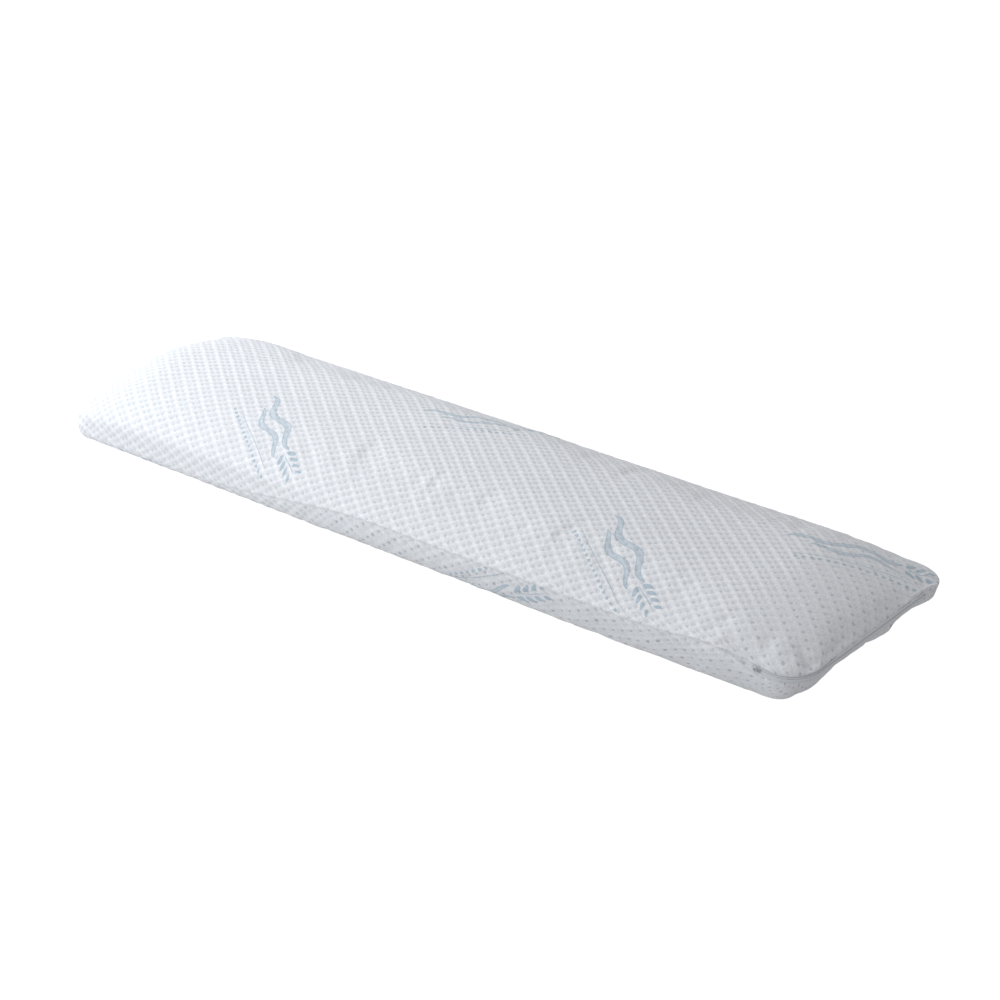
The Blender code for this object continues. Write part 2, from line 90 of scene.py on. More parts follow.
CORNERS = (                      # end, side, radius of the sewn corner, share of filling lost
    (+1, -1, 0.0486, 0.00),
    (+1, +1, 0.0440, 0.56),
    (-1, -1, 0.0360, 0.05),
    (-1, +1, 0.0340, 0.40),
)
# Rows next to the seam: height from the seam line, and how far in from the plain panel.
SEAM_ROWS_ABOVE = ((0.0000, 0.0009), (0.0009, 0.0000), (0.0030, -0.0006), (0.0080, 0.0))
SEAM_ROWS_BELOW = ((0.0000, 0.0009), (0.0008, 0.0005), (0.0028, 0.0003), (0.0080, 0.0))
LIP_ROWS = ((0.0011, 0.0014), (0.0042, 0.0002))         # the channel's lip, height and inset
LEAST_LIP_INSET = 0.0004
TOP_RINGS = (0.26,)              # rings further in, as shares of the panel's height
BASE_RINGS = (0.24, 0.38, 0.51, 0.63, 0.74, 0.83, 0.90, 0.95, 0.985, 1.00)
SEAM_ROWS = len(SEAM_ROWS_ABOVE)
STEPS_BELOW, STEPS_ABOVE = 33, 49                       # of the plain side's curve
FOLDS = (                        # panel, both ends of the fold, half width, depth (below 0 bulges)
    ("top", (0.664, -0.140, 0.058), (0.648, -0.118, 0.080), 0.012, 0.0050),
    ("top", (0.668, -0.060, 0.053), (0.668, -0.100, 0.053), 0.010, 0.0020),
    ("top", (0.664, 0.128, 0.054), (0.615, 0.118, 0.078), 0.013, 0.0065),
    ("top", (0.655, 0.080, 0.060), (0.600, 0.060, 0.092), 0.020, 0.0022),
    ("top", (0.560, -0.166, 0.072), (0.606, -0.170, 0.058), 0.009, 0.0032),
    ("top", (0.575, -0.150, 0.083), (0.620, -0.155, 0.074), 0.016, -0.0018),
    ("top", (-0.640, -0.130, 0.070), (-0.590, -0.105, 0.092), 0.016, 0.0022),
    ("top", (-0.645, 0.120, 0.066), (-0.600, 0.100, 0.088), 0.016, 0.0024),
    ("base", (0.666, 0.026, 0.031), (0.666, 0.004, 0.031), 0.016, -0.0042),
)
CREASES = (                      # finer folds than the solid's, in the same terms
    ("top", (0.668, -0.140, 0.053), (0.642, -0.128, 0.068), 0.0048, 0.0042),
    ("top", (0.6715, -0.143, 0.0530), (0.6725, -0.095, 0.0520), 0.0060, 0.0064),
    ("top", (0.662, 0.118, 0.052), (0.640, 0.104, 0.066), 0.0050, 0.0030),
    ("top", (0.660, 0.134, 0.049), (0.644, 0.140, 0.056), 0.0045, 0.0026),
    ("base", (0.586, -0.175, 0.049), (0.612, -0.175, 0.039), 0.0090, -0.0016),
    ("top", (-0.628, -0.158, 0.056), (-0.600, -0.140, 0.076), 0.0055, 0.0018),
    ("top", (-0.640, -0.110, 0.066), (-0.612, -0.100, 0.080), 0.0060, 0.0016),
)
SLACK = 0.0011                   # height of the cover's long soft waves
SLACK_WAVES = (                  # turn in radians for each metre of X and of Y, start, share
    (9.1, 14.0, 0.6, 1.0),
    (17.3, -9.0, 2.1, 0.7),
    (31.0, 21.0, 4.0, 0.5),
)
SLIT_START_X, ZIP_START_X, CHANNEL_END_Y = 0.574, 0.602, 0.124
CHANNEL_FADE, CHANNEL_DEPTH = 0.022, 0.0040
SLIT_HALF_HEIGHT, CHANNEL_HALF_HEIGHT_SIDE, CHANNEL_HALF_HEIGHT_END = 0.0014, 0.0038, 0.0056
CHANNEL_WIDENS_FROM_Y, CHANNEL_WIDE_AT_Y = -0.125, -0.080
GAP, TAPE_THICKNESS = 0.0003, 0.0008
COIL_THICKNESS, COIL_HALF_HEIGHT = 0.0019, 0.0014
SLIDER_AT_X, SLIDER_LENGTH, SLIDER_HALF_HEIGHT, SLIDER_PLATE = 0.6115, 0.0085, 0.0030, 0.0009
PULL_OUTER_RADIUS, PULL_HOLE_RADIUS, PULL_THICKNESS = 0.0034, 0.0019, 0.0009
BAIL_WIRE, BAIL_HALF_SPAN, BAIL_ROOM = 0.0008, 0.0015, 0.0015
SLIDER_TAIL, BAIL_BREADTH = 0.80, 1.3                   # breadths against the plain shape's
COIL_LENGTH, TOOTH_STEP = 0.368, 0.00115
TOOTH_RADIUS, TOOTH_WIRE, TOOTH_FLATNESS = 0.00105, 0.00029, 0.66
STITCH_LENGTH, THREAD_RADIUS, STITCH_STEP, STITCHED_LENGTH = 0.0026, 0.00026, 0.0034, 3.02
STITCH_SINK, STITCH_INSET, STITCH_LEAN = 0.0005, 0.0009, math.radians(19)
STITCH_START, STITCH_LINE_STEP, COIL_LINE_STEP = 0.012, 0.004, 0.002
SLIDER_ROUNDING, NARROW_STEP = 0.00028, 0.0001

# ---- the knit, in metres on the flat cloth ----
CELLS_LONG, CELLS_WIDE = 224, 60
COARSE_STEP = 4                                         # the flat of the base has one cell for this many
DOT_STEP, ROW_STEP = Vector((0.0163, 0.0117, 0)), Vector((0.0103, -0.0081, 0))
CROSS = DOT_STEP.x * ROW_STEP.y - DOT_STEP.y * ROW_STEP.x
ALONG_AXIS = (ROW_STEP.y / CROSS, -ROW_STEP.x / CROSS)  # counts dots along a line of them
ROWS_AXIS = (-DOT_STEP.y / CROSS, DOT_STEP.x / CROSS)   # counts the lines
PATCH_AT, RIB_AT, SECOND_RIB_AT = 0.40, 0.82, 0.26      # of the way from one dot to the next
PUFF_AT = 0.29                                          # of the way from one row to the next
RIB_BASE, RIB_SHARE, SECOND_RIB_SHARE, PUFF_SHARE = 0.46, 0.16, 0.22, 0.30
SLOPE_START, SLOPE_END = 0.52, 0.60                     # X over which the zip's slope draws the knit's relief flat, and the knit's painted shade and highlight fade
BAND_HEIGHTS = (0.022, 0.064)                           # Z over which, up from the low band, the knit's painted shade and highlight grow and its dots fade
PLAIN_HALF = (-0.02, -0.30)                             # X over which they do so towards the plain end
RIB_BUMP, DOT_BUMP, LOOP_BUMP = 0.00045, -0.00030, 0.00005
BASE_CLOTH_SHIFT = Vector((0.205, 0.060))               # of the base's pattern against the top's

# ---- how the cover is made ----
EVEN_SAMPLES, ROW_SPREAD, RIM_STEP = 3001, 0.004, 0.002
FOLD_LEAST_HEIGHT, FOLD_TAPER = 0.004, 0.4
WELD = 0.00002
CHANNEL_CREASE = 0.8                                    # how firmly the channel's edges stay sharp
FRAMES = 20                                             # of the cloth's settling
HELD_BY_SEAM, HELD_BY_TABLE = 0.006, 0.0010             # how far from them the cover stays put
SEAM_FADE, TABLE_FADE = (0.003, 0.012), (0.0015, 0.012)     # over these distances the relief begins
UNDERSIDE_LOSS, SLOPE_LOSS, RELIEF_MIDDLE = 0.6, 0.5, 0.4

# ---- the stage ----
WHITE = (1.0, 1.0, 1.0)
CAMERA_TARGET, CAMERA_SHIFT = (0, 0, 0.05), (0.0265, -0.0163)


# ---- small helpers ----
def smooth(value):
    value = min(max(value, 0.0), 1.0)
    return value * value * (3 - 2 * value)


def smooth_steps(values, low, high):
    share = np.clip((values - low) / (high - low), 0, 1)
    return share * share * (3 - 2 * share)


def deselect_all():
    if bpy.context.mode != "OBJECT":
        bpy.ops.object.mode_set(mode="OBJECT")
    for item in bpy.context.view_layer.objects:
        item.select_set(False)


def select_only(item):
    deselect_all()
    item.select_set(True)
    bpy.context.view_layer.objects.active = item


def edit_all():
    """Goes into edit mode with everything selected."""
    bpy.ops.object.mode_set(mode="EDIT")
    bpy.ops.mesh.select_all(action="SELECT")


def end_edit():
    bpy.ops.object.mode_set(mode="OBJECT")


def apply_transform():
    bpy.ops.object.transform_apply(location=True, rotation=True, scale=True)


def apply_modifiers(item):
    select_only(item)
    for modifier in list(item.modifiers):
        bpy.ops.object.modifier_apply(modifier=modifier.name)


def new_object(name, data):
    made = bpy.data.objects.new(name, data)
    bpy.context.scene.collection.objects.link(made)
    return made


def just_added(name):
    """The shape that was added last, with its name given to it and to its mesh."""
    made = bpy.context.object
    made.name = made.data.name = name
    return made


def read_values(elements, name, width=1, kind=np.float32):
    """One value, or a row of them, from each element of a mesh."""
    values = np.empty(len(elements) * width, kind)
    elements.foreach_get(name, values)
    return values.reshape(-1, width) if width > 1 else values


def coordinates(mesh):
    return read_values(mesh.vertices, "co", 3).astype(float)


def seam_distances(mesh):
    return read_values(mesh.attributes["from_seam"].data, "value")


def set_coordinates(mesh, values):
    """Moves the vertices, none of them below the table."""
    values[:, 2] = np.maximum(values[:, 2], 0.0)
    mesh.vertices.foreach_set("co", np.asarray(values, np.float32).ravel())
    mesh.update()


def dressed(item, material):
    """Gives a finished piece its one material, and lets it ride on the body."""
    item.data.materials.clear()
    item.data.materials.append(material)
    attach(item, "root")
    return item


# ---- plan, seam and crown ----
def corner_of(s, t):
    at = (1 if s > 0 else -1, 1 if t > 0 else -1)
    return next(row for row in CORNERS if row[:2] == at)


def from_rim(s, t):
    """Distances in plan from the nearer end and from the nearer side."""
    return HALF_LENGTH * (1 - abs(s)), HALF_WIDTH * (1 - abs(t))


def plan(s, t):
    """Plan position of panel coordinates s and t, each from -1 to 1, with rounded corners."""
    radius = corner_of(s, t)[2]
    x, y = HALF_LENGTH * s, HALF_WIDTH * t
    past_x, past_y = abs(x) - (HALF_LENGTH - radius), abs(y) - (HALF_WIDTH - radius)
    if past_x > 0 and past_y > 0:
        squeeze = max(past_x, past_y) / math.hypot(past_x, past_y)
        x = math.copysign(HALF_LENGTH - radius + past_x * squeeze, x)
        y = math.copysign(HALF_WIDTH - radius + past_y * squeeze, y)
    return Vector((x, y, 0.0))


def rim_ahead(s, t, step):
    """The rim coordinates a short step further on, counter-clockwise seen from above."""
    if t <= -1 and s < 1:
        return min(s + step / HALF_LENGTH, 1.0), t
    if s >= 1 and t < 1:
        return s, min(t + step / HALF_WIDTH, 1.0)
    if t >= 1 and s > -1:
        return max(s - step / HALF_LENGTH, -1.0), t
    return s, max(t - step / HALF_WIDTH, -1.0)


def rim_behind(s, t, step):
    mirrored = rim_ahead(-s, t, step)
    return -mirrored[0], mirrored[1]


def outward(s, t):
    """Unit vector in plan that points out of the pillow at the rim."""
    along = plan(*rim_ahead(s, t, RIM_STEP)) - plan(*rim_behind(s, t, RIM_STEP))
    return Vector((along.y, -along.x, 0.0)).normalized()


def seam_height(s, t):
    x = HALF_LENGTH * s
    to_zip_end = smooth((x - HALF_LENGTH) / SEAM_SAG_LENGTH + 1)
    to_plain_end = smooth((-x - HALF_LENGTH) / SEAM_SAG_LENGTH + 1)
    height = SEAM_HEIGHT + (SEAM_HEIGHT_ZIP_END - SEAM_HEIGHT) * to_zip_end
    height += (SEAM_HEIGHT_PLAIN_END - SEAM_HEIGHT) * to_plain_end
    pull = math.exp(-((x - SEAM_RISE_AT) / SEAM_RISE_SPREAD) ** 2)
    near = smooth((SEAM_RISE_FROM_T - t) / SEAM_RISE_FADE)
    return height + SEAM_RISE * pull * near * (1 - to_zip_end ** 2)


def joined_reach(u, v):
    """One distance from the seam, 0 to 1, out of the distances from an end and from a side."""
    u, v = max(min(u, 1.0), 1e-6), max(min(v, 1.0), 1e-6)
    near_seam = math.exp(-(max(u, v) / CORNER_FULLNESS_REACH) ** 2)
    fullness = CORNER_FULLNESS + CORNER_FULLNESS_AT_SEAM * near_seam
    return (u ** -fullness + v ** -fullness - 1) ** (-1 / fullness)


def rise(reach, fall, bulge):
    return (1 - (1 - min(reach, 1.0)) ** fall) ** (1 / bulge)


def reach_for(share, fall, bulge):
    return 1 - (1 - share ** bulge) ** (1 / fall)


def slack(x, y):
    """Long soft waves of the cover, the same on every run."""
    wave = sum(share * math.sin(by_x * x + by_y * y + start) for by_x, by_y, start, share in SLACK_WAVES)
    return SLACK * wave / sum(row[3] for row in SLACK_WAVES)


def corner_share(s, t):
    """The share of the filling's height that is left near a soft corner."""
    return 1 - corner_of(s, t)[3] * math.exp(-(math.hypot(*from_rim(s, t)) / CORNER_SOFT_REACH) ** 2)


def top_point(s, t):
    from_end, from_side = from_rim(s, t)
    reach_x = CROWN_REACH_ZIP_END if s > 0 else CROWN_REACH_PLAIN_END
    share = rise(joined_reach(from_end / reach_x, from_side / CROWN_REACH_SIDE), CROWN_FALL, CROWN_BULGE)
    share *= corner_share(s, t)
    point = plan(s, t)
    seam = seam_height(s, t)
    taper = CROWN_TAPER * smooth(point.x / CROWN_TAPER_LENGTH)
    crown = CROWN_HEIGHT - SLACK + slack(point.x, point.y) - taper
    point.z = seam + (crown - seam) * share
    return point


def base_point(s, t):
    from_end, from_side = from_rim(s, t)
    reach, _, bulge = panel_sides(False)[0 if s > 0 else 1]
    bulge += (BASE_BULGE_SIDE - bulge) * math.exp(-(from_side / BASE_CORNER_LENGTH) ** 2)
    end_share = max(rise(from_end / reach, BASE_FALL, bulge), 1e-6)
    side_share = max(rise(from_side / BASE_REACH_SIDE, BASE_FALL, BASE_BULGE_SIDE), 1e-6)
    full = -BASE_CORNER_FULLNESS
    share = (end_share ** full + side_share ** full - 1) ** (1 / full)
    point = plan(s, t)
    point.z = seam_height(s, t) * (1 - share) if share < 0.9999 else 0.0
    return point


def channel_share(s, t):
    """1 where the rim carries the channel of the zip, 0 away from it."""
    point = plan(s, t)
    if point.x < SLIT_START_X - CHANNEL_FADE or t > 0.99 or (t > -0.99 and s < 0.99):
        return 0.0
    opened = smooth((point.x - SLIT_START_X) / CHANNEL_FADE + 1)
    return opened * smooth((CHANNEL_END_Y - point.y) / CHANNEL_FADE + 1)


def channel_half_height(s, t):
    """Half the channel's height: a slit at first, then as wide as the slider, then as the tapes."""
    point = plan(s, t)
    past_slit = smooth((point.x - SLIT_START_X) / (ZIP_START_X - 0.004 - SLIT_START_X))
    wide = smooth((point.y - CHANNEL_WIDENS_FROM_Y) / (CHANNEL_WIDE_AT_Y - CHANNEL_WIDENS_FROM_Y))
    height = SLIT_HALF_HEIGHT + (CHANNEL_HALF_HEIGHT_SIDE - SLIT_HALF_HEIGHT) * past_slit
    return height + (CHANNEL_HALF_HEIGHT_END - CHANNEL_HALF_HEIGHT_SIDE) * wide


def panel_sides(top):
    """For the zipped end, the plain end and the long sides: reach, fall and bulge of the panel."""
    if top:
        reaches = CROWN_REACH_ZIP_END, CROWN_REACH_PLAIN_END, CROWN_REACH_SIDE
        return [(reach, CROWN_FALL, CROWN_BULGE) for reach in reaches]
    return [(BASE_REACH_ZIP_END, BASE_FALL, BASE_BULGE_ZIP_END),
            (BASE_REACH_PLAIN_END, BASE_FALL, BASE_BULGE_PLAIN_END),
            (BASE_REACH_SIDE, BASE_FALL, BASE_BULGE_SIDE)]


def inset_for(share, side):
    """How far in from the rim a side of the panel reaches a share of its height."""
    reach, fall, bulge = side
    return reach * reach_for(share, fall, bulge)


def turned_inset(s, share, top, at_end):
    """The same where the rim turns from a long side to an end, by the share that it faces the end."""
    zip_end, plain_end, side = panel_sides(top)
    end_inset, side_inset = inset_for(share, zip_end if s > 0 else plain_end), inset_for(share, side)
    return side_inset + (end_inset - side_inset) * at_end


def ring_insets(top):
    """Insets of every ring from the rim inwards, in panel coordinates, for both ends and the sides."""
    halves = HALF_LENGTH, HALF_LENGTH, HALF_WIDTH
    rows = [(0.0, 0.0, 0.0)] * SEAM_ROWS
    for share in TOP_RINGS if top else BASE_RINGS:
        rows.append([inset_for(share, side) / half for side, half in zip(panel_sides(top), halves)])
    return rows


def at_inset(s0, t0, inset):
    return s0 * (1 - (inset[0] if s0 > 0 else inset[1])), t0 * (1 - inset[2])


def seam_profile(s0, t0, top):
    """How far the plain panel stands in from the rim at a height above or below the seam."""
    seam = seam_height(s0, t0)
    room = CROWN_HEIGHT - seam if top else seam
    at_end = abs(outward(s0, t0).x) ** 2
    return lambda height: turned_inset(s0, height / room, top, at_end)


def seam_row_point(s0, t0, number, top):
    """A point of the first rings, which carry the sewn channel and the deeper channel of the zip."""
    profile = seam_profile(s0, t0, top)
    height, inset = (SEAM_ROWS_ABOVE if top else SEAM_ROWS_BELOW)[number]
    inset += profile(height)
    if top:
        height *= corner_share(s0, t0)
    share = channel_share(s0, t0)
    if share > 0:
        edge = channel_half_height(s0, t0)
        if number < 2:
            lip_height, lip_inset = number * edge, CHANNEL_DEPTH
        else:
            lip_height = edge + LIP_ROWS[number - 2][0]
            lip_inset = max(profile(lip_height) + LIP_ROWS[number - 2][1], LEAST_LIP_INSET)
        height += (lip_height - height) * share
        inset += (lip_inset - inset) * share
    point = plan(s0, t0) - outward(s0, t0) * inset
    point.z = seam_height(s0, t0) + (height if top else -height)
    return point


def rim_under(s, t):
    """The rim position straight out from a panel position, on a diagonal next to a corner."""
    from_end, from_side = from_rim(s, t)
    nearer = min(from_end, from_side)
    to_rim_x, to_rim_y = (from_end - nearer) / HALF_LENGTH, (from_side - nearer) / HALF_WIDTH
    return math.copysign(1 - to_rim_x, s), math.copysign(1 - to_rim_y, t)


def slip_share(s, t):
    """How far the seam has slipped down, 0 to 1: fully on the near side of the plain end."""
    along = (SEAM_SLIP_FROM_X - HALF_LENGTH * s) / (SEAM_SLIP_FROM_X - SEAM_SLIP_AT_X)
    return smooth(along) * smooth(SEAM_SLIP_ACROSS * (1 - t))


def side_curve(s, t, at_end):
    """The plain side from its foot up: distance from the widest line, height over it, inset from it."""
    widest = seam_height(s, t)
    below = np.cos(np.linspace(0, math.pi / 2, STEPS_BELOW))
    above = np.linspace(0.02, 0.98, STEPS_ABOVE)
    heights, insets = [], []
    for top, room, shares in ((False, -widest, below), (True, CROWN_HEIGHT - widest, above)):
        for share in shares:
            insets.append(turned_inset(s, share, top, at_end))
            heights.append(room * share)
    lengths = np.concatenate(([0], np.cumsum(np.hypot(np.diff(heights), np.diff(insets)))))
    return lengths - lengths[STEPS_BELOW - 1], heights, insets


def slipped(point, s, t, top):
    """Where the slipped seam takes a point: along the side's own curve, which keeps its shape."""
    rim = rim_under(s, t)
    share = slip_share(*rim)
    if share <= 0:
        return point
    out = outward(*rim)
    lengths, heights, insets = side_curve(*rim, out.x ** 2)
    widest = seam_height(*rim)
    slip = -np.interp((SEAM_SLIP_HEIGHT - widest) * share, heights, lengths)
    at = np.interp(point.z - widest, heights, lengths)
    moved = at - slip * (max(1 - at / min(SEAM_SLIP_REACH, lengths[-1]), 0) if top else 1 - at / lengths[0])
    height, inset = (np.interp(moved, lengths, values) - np.interp(at, lengths, values)
                     for values in (heights, insets))
    found = point - out * float(inset)
    found.z = max(point.z + float(height), 0.0)
    return found


def seam_frame(where):
    """At a rim position: the point on the seam line, and unit vectors along, out and up."""
    ahead, behind = rim_ahead(*where, RIM_STEP), rim_behind(*where, RIM_STEP)
    points = [slipped(plan(*spot) + Vector((0, 0, seam_height(*spot))), *spot, True)
              for spot in (behind, where, ahead)]
    out = outward(*where)
    along = (points[2] - points[0]).normalized()
    return points[1], along, out, out.cross(along).normalized()


# ---- the two panels of the cover ----
def even_homes():
    """Rim coordinates whose lines lie evenly along the top panel, lengthwise and across."""
    inset = ring_insets(True)[-1]
    homes = []
    for cells, place in ((CELLS_LONG, lambda value: top_point(at_inset(value, 1, inset)[0], 0)),
                         (CELLS_WIDE, lambda value: top_point(0, at_inset(1, value, inset)[1]))):
        values = np.linspace(-1, 1, EVEN_SAMPLES)
        points = np.array([place(value) for value in values])
        lengths = np.concatenate(([0], np.cumsum(np.linalg.norm(np.diff(points, axis=0), axis=1))))
        homes.append(np.interp(np.linspace(0, lengths[-1], cells + 1), lengths, values))
    return homes


def laid_out_panel(top, homes):
    """The panel as a flat pattern: a grid with a border of rings, each vertex told its ring."""
    insets = ring_insets(top)
    bm = bmesh.new()
    bm.verts.layers.float_vector.new("cloth")
    bm.verts.layers.float.new("from_seam")
    bm.loops.layers.uv.new("cloth_map")
    ring = bm.verts.layers.int.new("ring")
    bmesh.ops.create_grid(bm, x_segments=CELLS_LONG, y_segments=CELLS_WIDE, size=1.0)
    spot, home, inner = {}, {}, {}
    for vert in bm.verts:
        spot[vert] = round((vert.co.x + 1) / 2 * CELLS_LONG), round((vert.co.y + 1) / 2 * CELLS_WIDE)
        home[vert] = homes[0][spot[vert][0]], homes[1][spot[vert][1]]
        vert[ring] = len(insets)
        vert.co.xy = at_inset(*home[vert], insets[-1])
    for number in reversed(range(len(insets) - 1)):
        border = [edge for edge in bm.edges if edge.is_boundary]
        sources = {tuple(vert.co.xy): vert for edge in border for vert in edge.verts}
        made = bmesh.ops.extrude_edge_only(bm, edges=border)
        for vert in (item for item in made["geom"] if isinstance(item, bmesh.types.BMVert)):
            inner[vert] = sources[tuple(vert.co.xy)]
            home[vert] = home[inner[vert]]
            vert[ring] = number
            vert.co.xy = at_inset(*home[vert], insets[number])
            if number < SEAM_ROWS:
                vert.co.xy = [value * (1 - ROW_SPREAD * number) for value in home[vert]]
    return bm, ring, spot, home, inner


def unrolled(grid):
    """Where each point of a grid lies on the flat cloth: its plan position plus what its slope adds."""
    flat = grid[:, :, :2].copy()
    for axis in (0, 1):
        steps = np.diff(grid, axis=axis)
        extra = np.hypot(steps[:, :, axis], steps[:, :, 2]) - np.abs(steps[:, :, axis])
        total = np.cumsum(extra, axis=axis)
        total = np.concatenate((np.zeros_like(total[:1] if axis == 0 else total[:, :1]), total), axis=axis)
        middle = total.shape[axis] // 2
        flat[:, :, axis] += total - np.take(total, [middle], axis=axis)
    return flat


def shaped_panel(top, homes):
    """The panel in its shape, with its place on the flat cloth and its distance from the seam."""
    bm, ring, spot, home, inner = laid_out_panel(top, homes)
    cloth, from_seam = bm.verts.layers.float_vector["cloth"], bm.verts.layers.float["from_seam"]
    place = top_point if top else base_point
    for vert in bm.verts:
        if vert[ring] < SEAM_ROWS:
            vert.co = slipped(seam_row_point(*home[vert], vert[ring], top), *home[vert], top)
        else:
            at = tuple(vert.co.xy)
            vert.co = slipped(place(*at), *at, top)
    grid = np.zeros((CELLS_LONG + 1, CELLS_WIDE + 1, 3))
    for vert, at in spot.items():
        grid[at] = vert.co
    flat = unrolled(grid)
    for vert, at in spot.items():
        vert[cloth] = (*flat[at], 0.0)
        vert[from_seam] = 1.0
    chain = sorted(inner, key=lambda vert: -vert[ring])
    for vert in chain:
        vert[cloth] = inner[vert][cloth] + outward(*home[vert]) * (vert.co - inner[vert].co).length
    for vert in reversed(chain):
        if vert[ring] == 0:
            vert[from_seam] = 0.0
        if inner[vert] not in spot:
            inner[vert][from_seam] = vert[from_seam] + (vert.co - inner[vert].co).length
    if not top:
        loose = [edge for edge in bm.edges
                 if all(vert in spot for vert in edge.verts) and not edge_is_kept(edge, spot)]
        bmesh.ops.dissolve_edges(bm, edges=loose, use_verts=True, use_face_split=False)
        bmesh.ops.reverse_faces(bm, faces=bm.faces)
    bm.normal_update()
    fold_panel(bm, ring, "top" if top else "base")
    write_cloth_map(bm, cloth, top)
    return bm


def edge_is_kept(edge, spot):
    """True on the coarse lines of the base and along its edge."""
    (i, j), (k, l) = (spot[vert] for vert in edge.verts)
    along_x = j == l and (j % COARSE_STEP == 0 or j == CELLS_WIDE)
    along_y = i == k and (i % COARSE_STEP == 0 or i == CELLS_LONG)
    return along_x or along_y


def fold_panel(bm, ring, panel):
    """Presses the soft folds in along the surface's own normals, clear of the channel and the base."""
    moves = {}
    for vert in bm.verts:
        if vert[ring] < SEAM_ROWS or vert.co.z < FOLD_LEAST_HEIGHT:
            continue
        depth = 0.0
        for name, start, end, half_width, fold_depth in FOLDS + CREASES:
            if name != panel:
                continue
            start, end = Vector(start), Vector(end)
            share = min(max((vert.co - start).dot(end - start) / (end - start).length_squared, 0.0), 1.0)
            away = (vert.co - start.lerp(end, share)).length / half_width
            depth += fold_depth * math.exp(-away * away) * (1 - FOLD_TAPER * share)
        moves[vert] = vert.normal * -depth
    for vert, move in moves.items():
        vert.co += move


def write_cloth_map(bm, cloth, top):
    """Writes the cloth's place, in metres, as the map that the pattern follows."""
    pattern = bm.loops.layers.uv["cloth_map"]
    shift = Vector((0.0, 0.0)) if top else BASE_CLOTH_SHIFT
    for face in bm.faces:
        for loop in face.loops:
            loop[pattern].uv = loop.vert[cloth].xy + shift


def put_in_order(bm):
    """Numbers edges and faces by their vertices, so that the cover is the same on every run."""
    bm.verts.index_update()
    count = len(bm.verts)

    def number(element):
        first, second, third = (sorted(vert.index for vert in element.verts) + [0])[:3]
        return (first * count + second) * count + third

    bm.edges.sort(key=number)
    bm.faces.sort(key=number)


def joined_cover():
    """Both panels joined at their rims, as one closed cover."""
    homes = even_homes()
    bm = shaped_panel(True, homes)
    base = shaped_panel(False, homes)
    mesh = bpy.data.meshes.new("base_panel")
    base.to_mesh(mesh)
    base.free()
    bm.from_mesh(mesh)
    bpy.data.meshes.remove(mesh)
    rim = [vert for vert in bm.verts if vert.is_boundary]
    bmesh.ops.remove_doubles(bm, verts=rim, dist=WELD)
    put_in_order(bm)
    sharp = bm.edges.layers.float.new("crease_edge")
    ring = bm.verts.layers.int["ring"]
    for edge in bm.edges:
        if all(vert[ring] < 2 for vert in edge.verts):
            edge[sharp] = CHANNEL_CREASE
    mesh = bpy.data.meshes.new("knit_cover")
    bm.to_mesh(mesh)
    bm.free()
    mesh.shade_smooth()
    return new_object("knit_cover", mesh)


def settle_cloth(cover, look):
    """Lets the cover settle under a little pressure, held at its seam and where it lies on its base."""
    mesh = cover.data
    rest = coordinates(mesh)
    held = cover.vertex_groups.new(name="held")
    fixed = (seam_distances(mesh) < HELD_BY_SEAM) | (rest[:, 2] < HELD_BY_TABLE)
    held.add([int(index) for index in np.flatnonzero(fixed)], 1.0, "REPLACE")
    select_only(cover)
    cloth = cover.modifiers.new("Cloth", "CLOTH")
    settings = cloth.settings
    settings.quality = 5
    settings.mass = 0.25
    settings.tension_stiffness = settings.compression_stiffness = 14
    settings.shear_stiffness = 5
    settings.bending_stiffness = 0.35
    settings.use_pressure = True
    settings.uniform_pressure_force = look.pressure
    settings.vertex_group_mass = "held"
    settings.shrink_min = -look.ease
    settings.effector_weights.gravity = 0.0
    cloth.collision_settings.use_collision = False
    cloth.point_cache.frame_start, cloth.point_cache.frame_end = 1, FRAMES
    for number in range(1, FRAMES + 1):
        bpy.context.scene.frame_set(number)
    bpy.ops.object.modifier_apply(modifier="Cloth")
    bpy.context.scene.frame_set(1)
    move = coordinates(mesh) - rest
    size = np.linalg.norm(move, axis=1)
    limit = look.most_move
    move *= (limit * np.tanh(size / limit) / np.maximum(size, 1e-9))[:, None]
    set_coordinates(mesh, rest + move)


def cloth_places(mesh):
    """The place on the flat cloth of each vertex."""
    found = np.zeros((len(mesh.vertices), 2))
    vertex = read_values(mesh.loops, "vertex_index", kind=np.int32)
    found[vertex] = read_values(mesh.uv_layers["cloth_map"].uv, "vector", 2)
    return found


def knit_height(places, look):
    """Height of the knit's soft relief: puffs between two lines of dimples, and ribs along the rows."""
    along, rows = places @ ALONG_AXIS, places @ ROWS_AXIS
    height = RIB_BASE + RIB_SHARE * np.cos(2 * math.pi * (along - RIB_AT))
    height += SECOND_RIB_SHARE * np.cos(4 * math.pi * (along - SECOND_RIB_AT))
    height += PUFF_SHARE * np.cos(2 * math.pi * (rows - PUFF_AT))
    height *= look.rib_height
    off_rows = (rows + 0.5) % 1 - 0.5
    for start, share in ((0.0, 1.0), (PATCH_AT, 0.9)):
        off_along = (along - start + 0.5) % 1 - 0.5
        off = np.outer(off_along, DOT_STEP.xy) + np.outer(off_rows, ROW_STEP.xy)
        away = (off ** 2).sum(axis=1) / look.dimple_radius ** 2
        height -= look.dimple_depth * share * np.exp(-away)
    return height


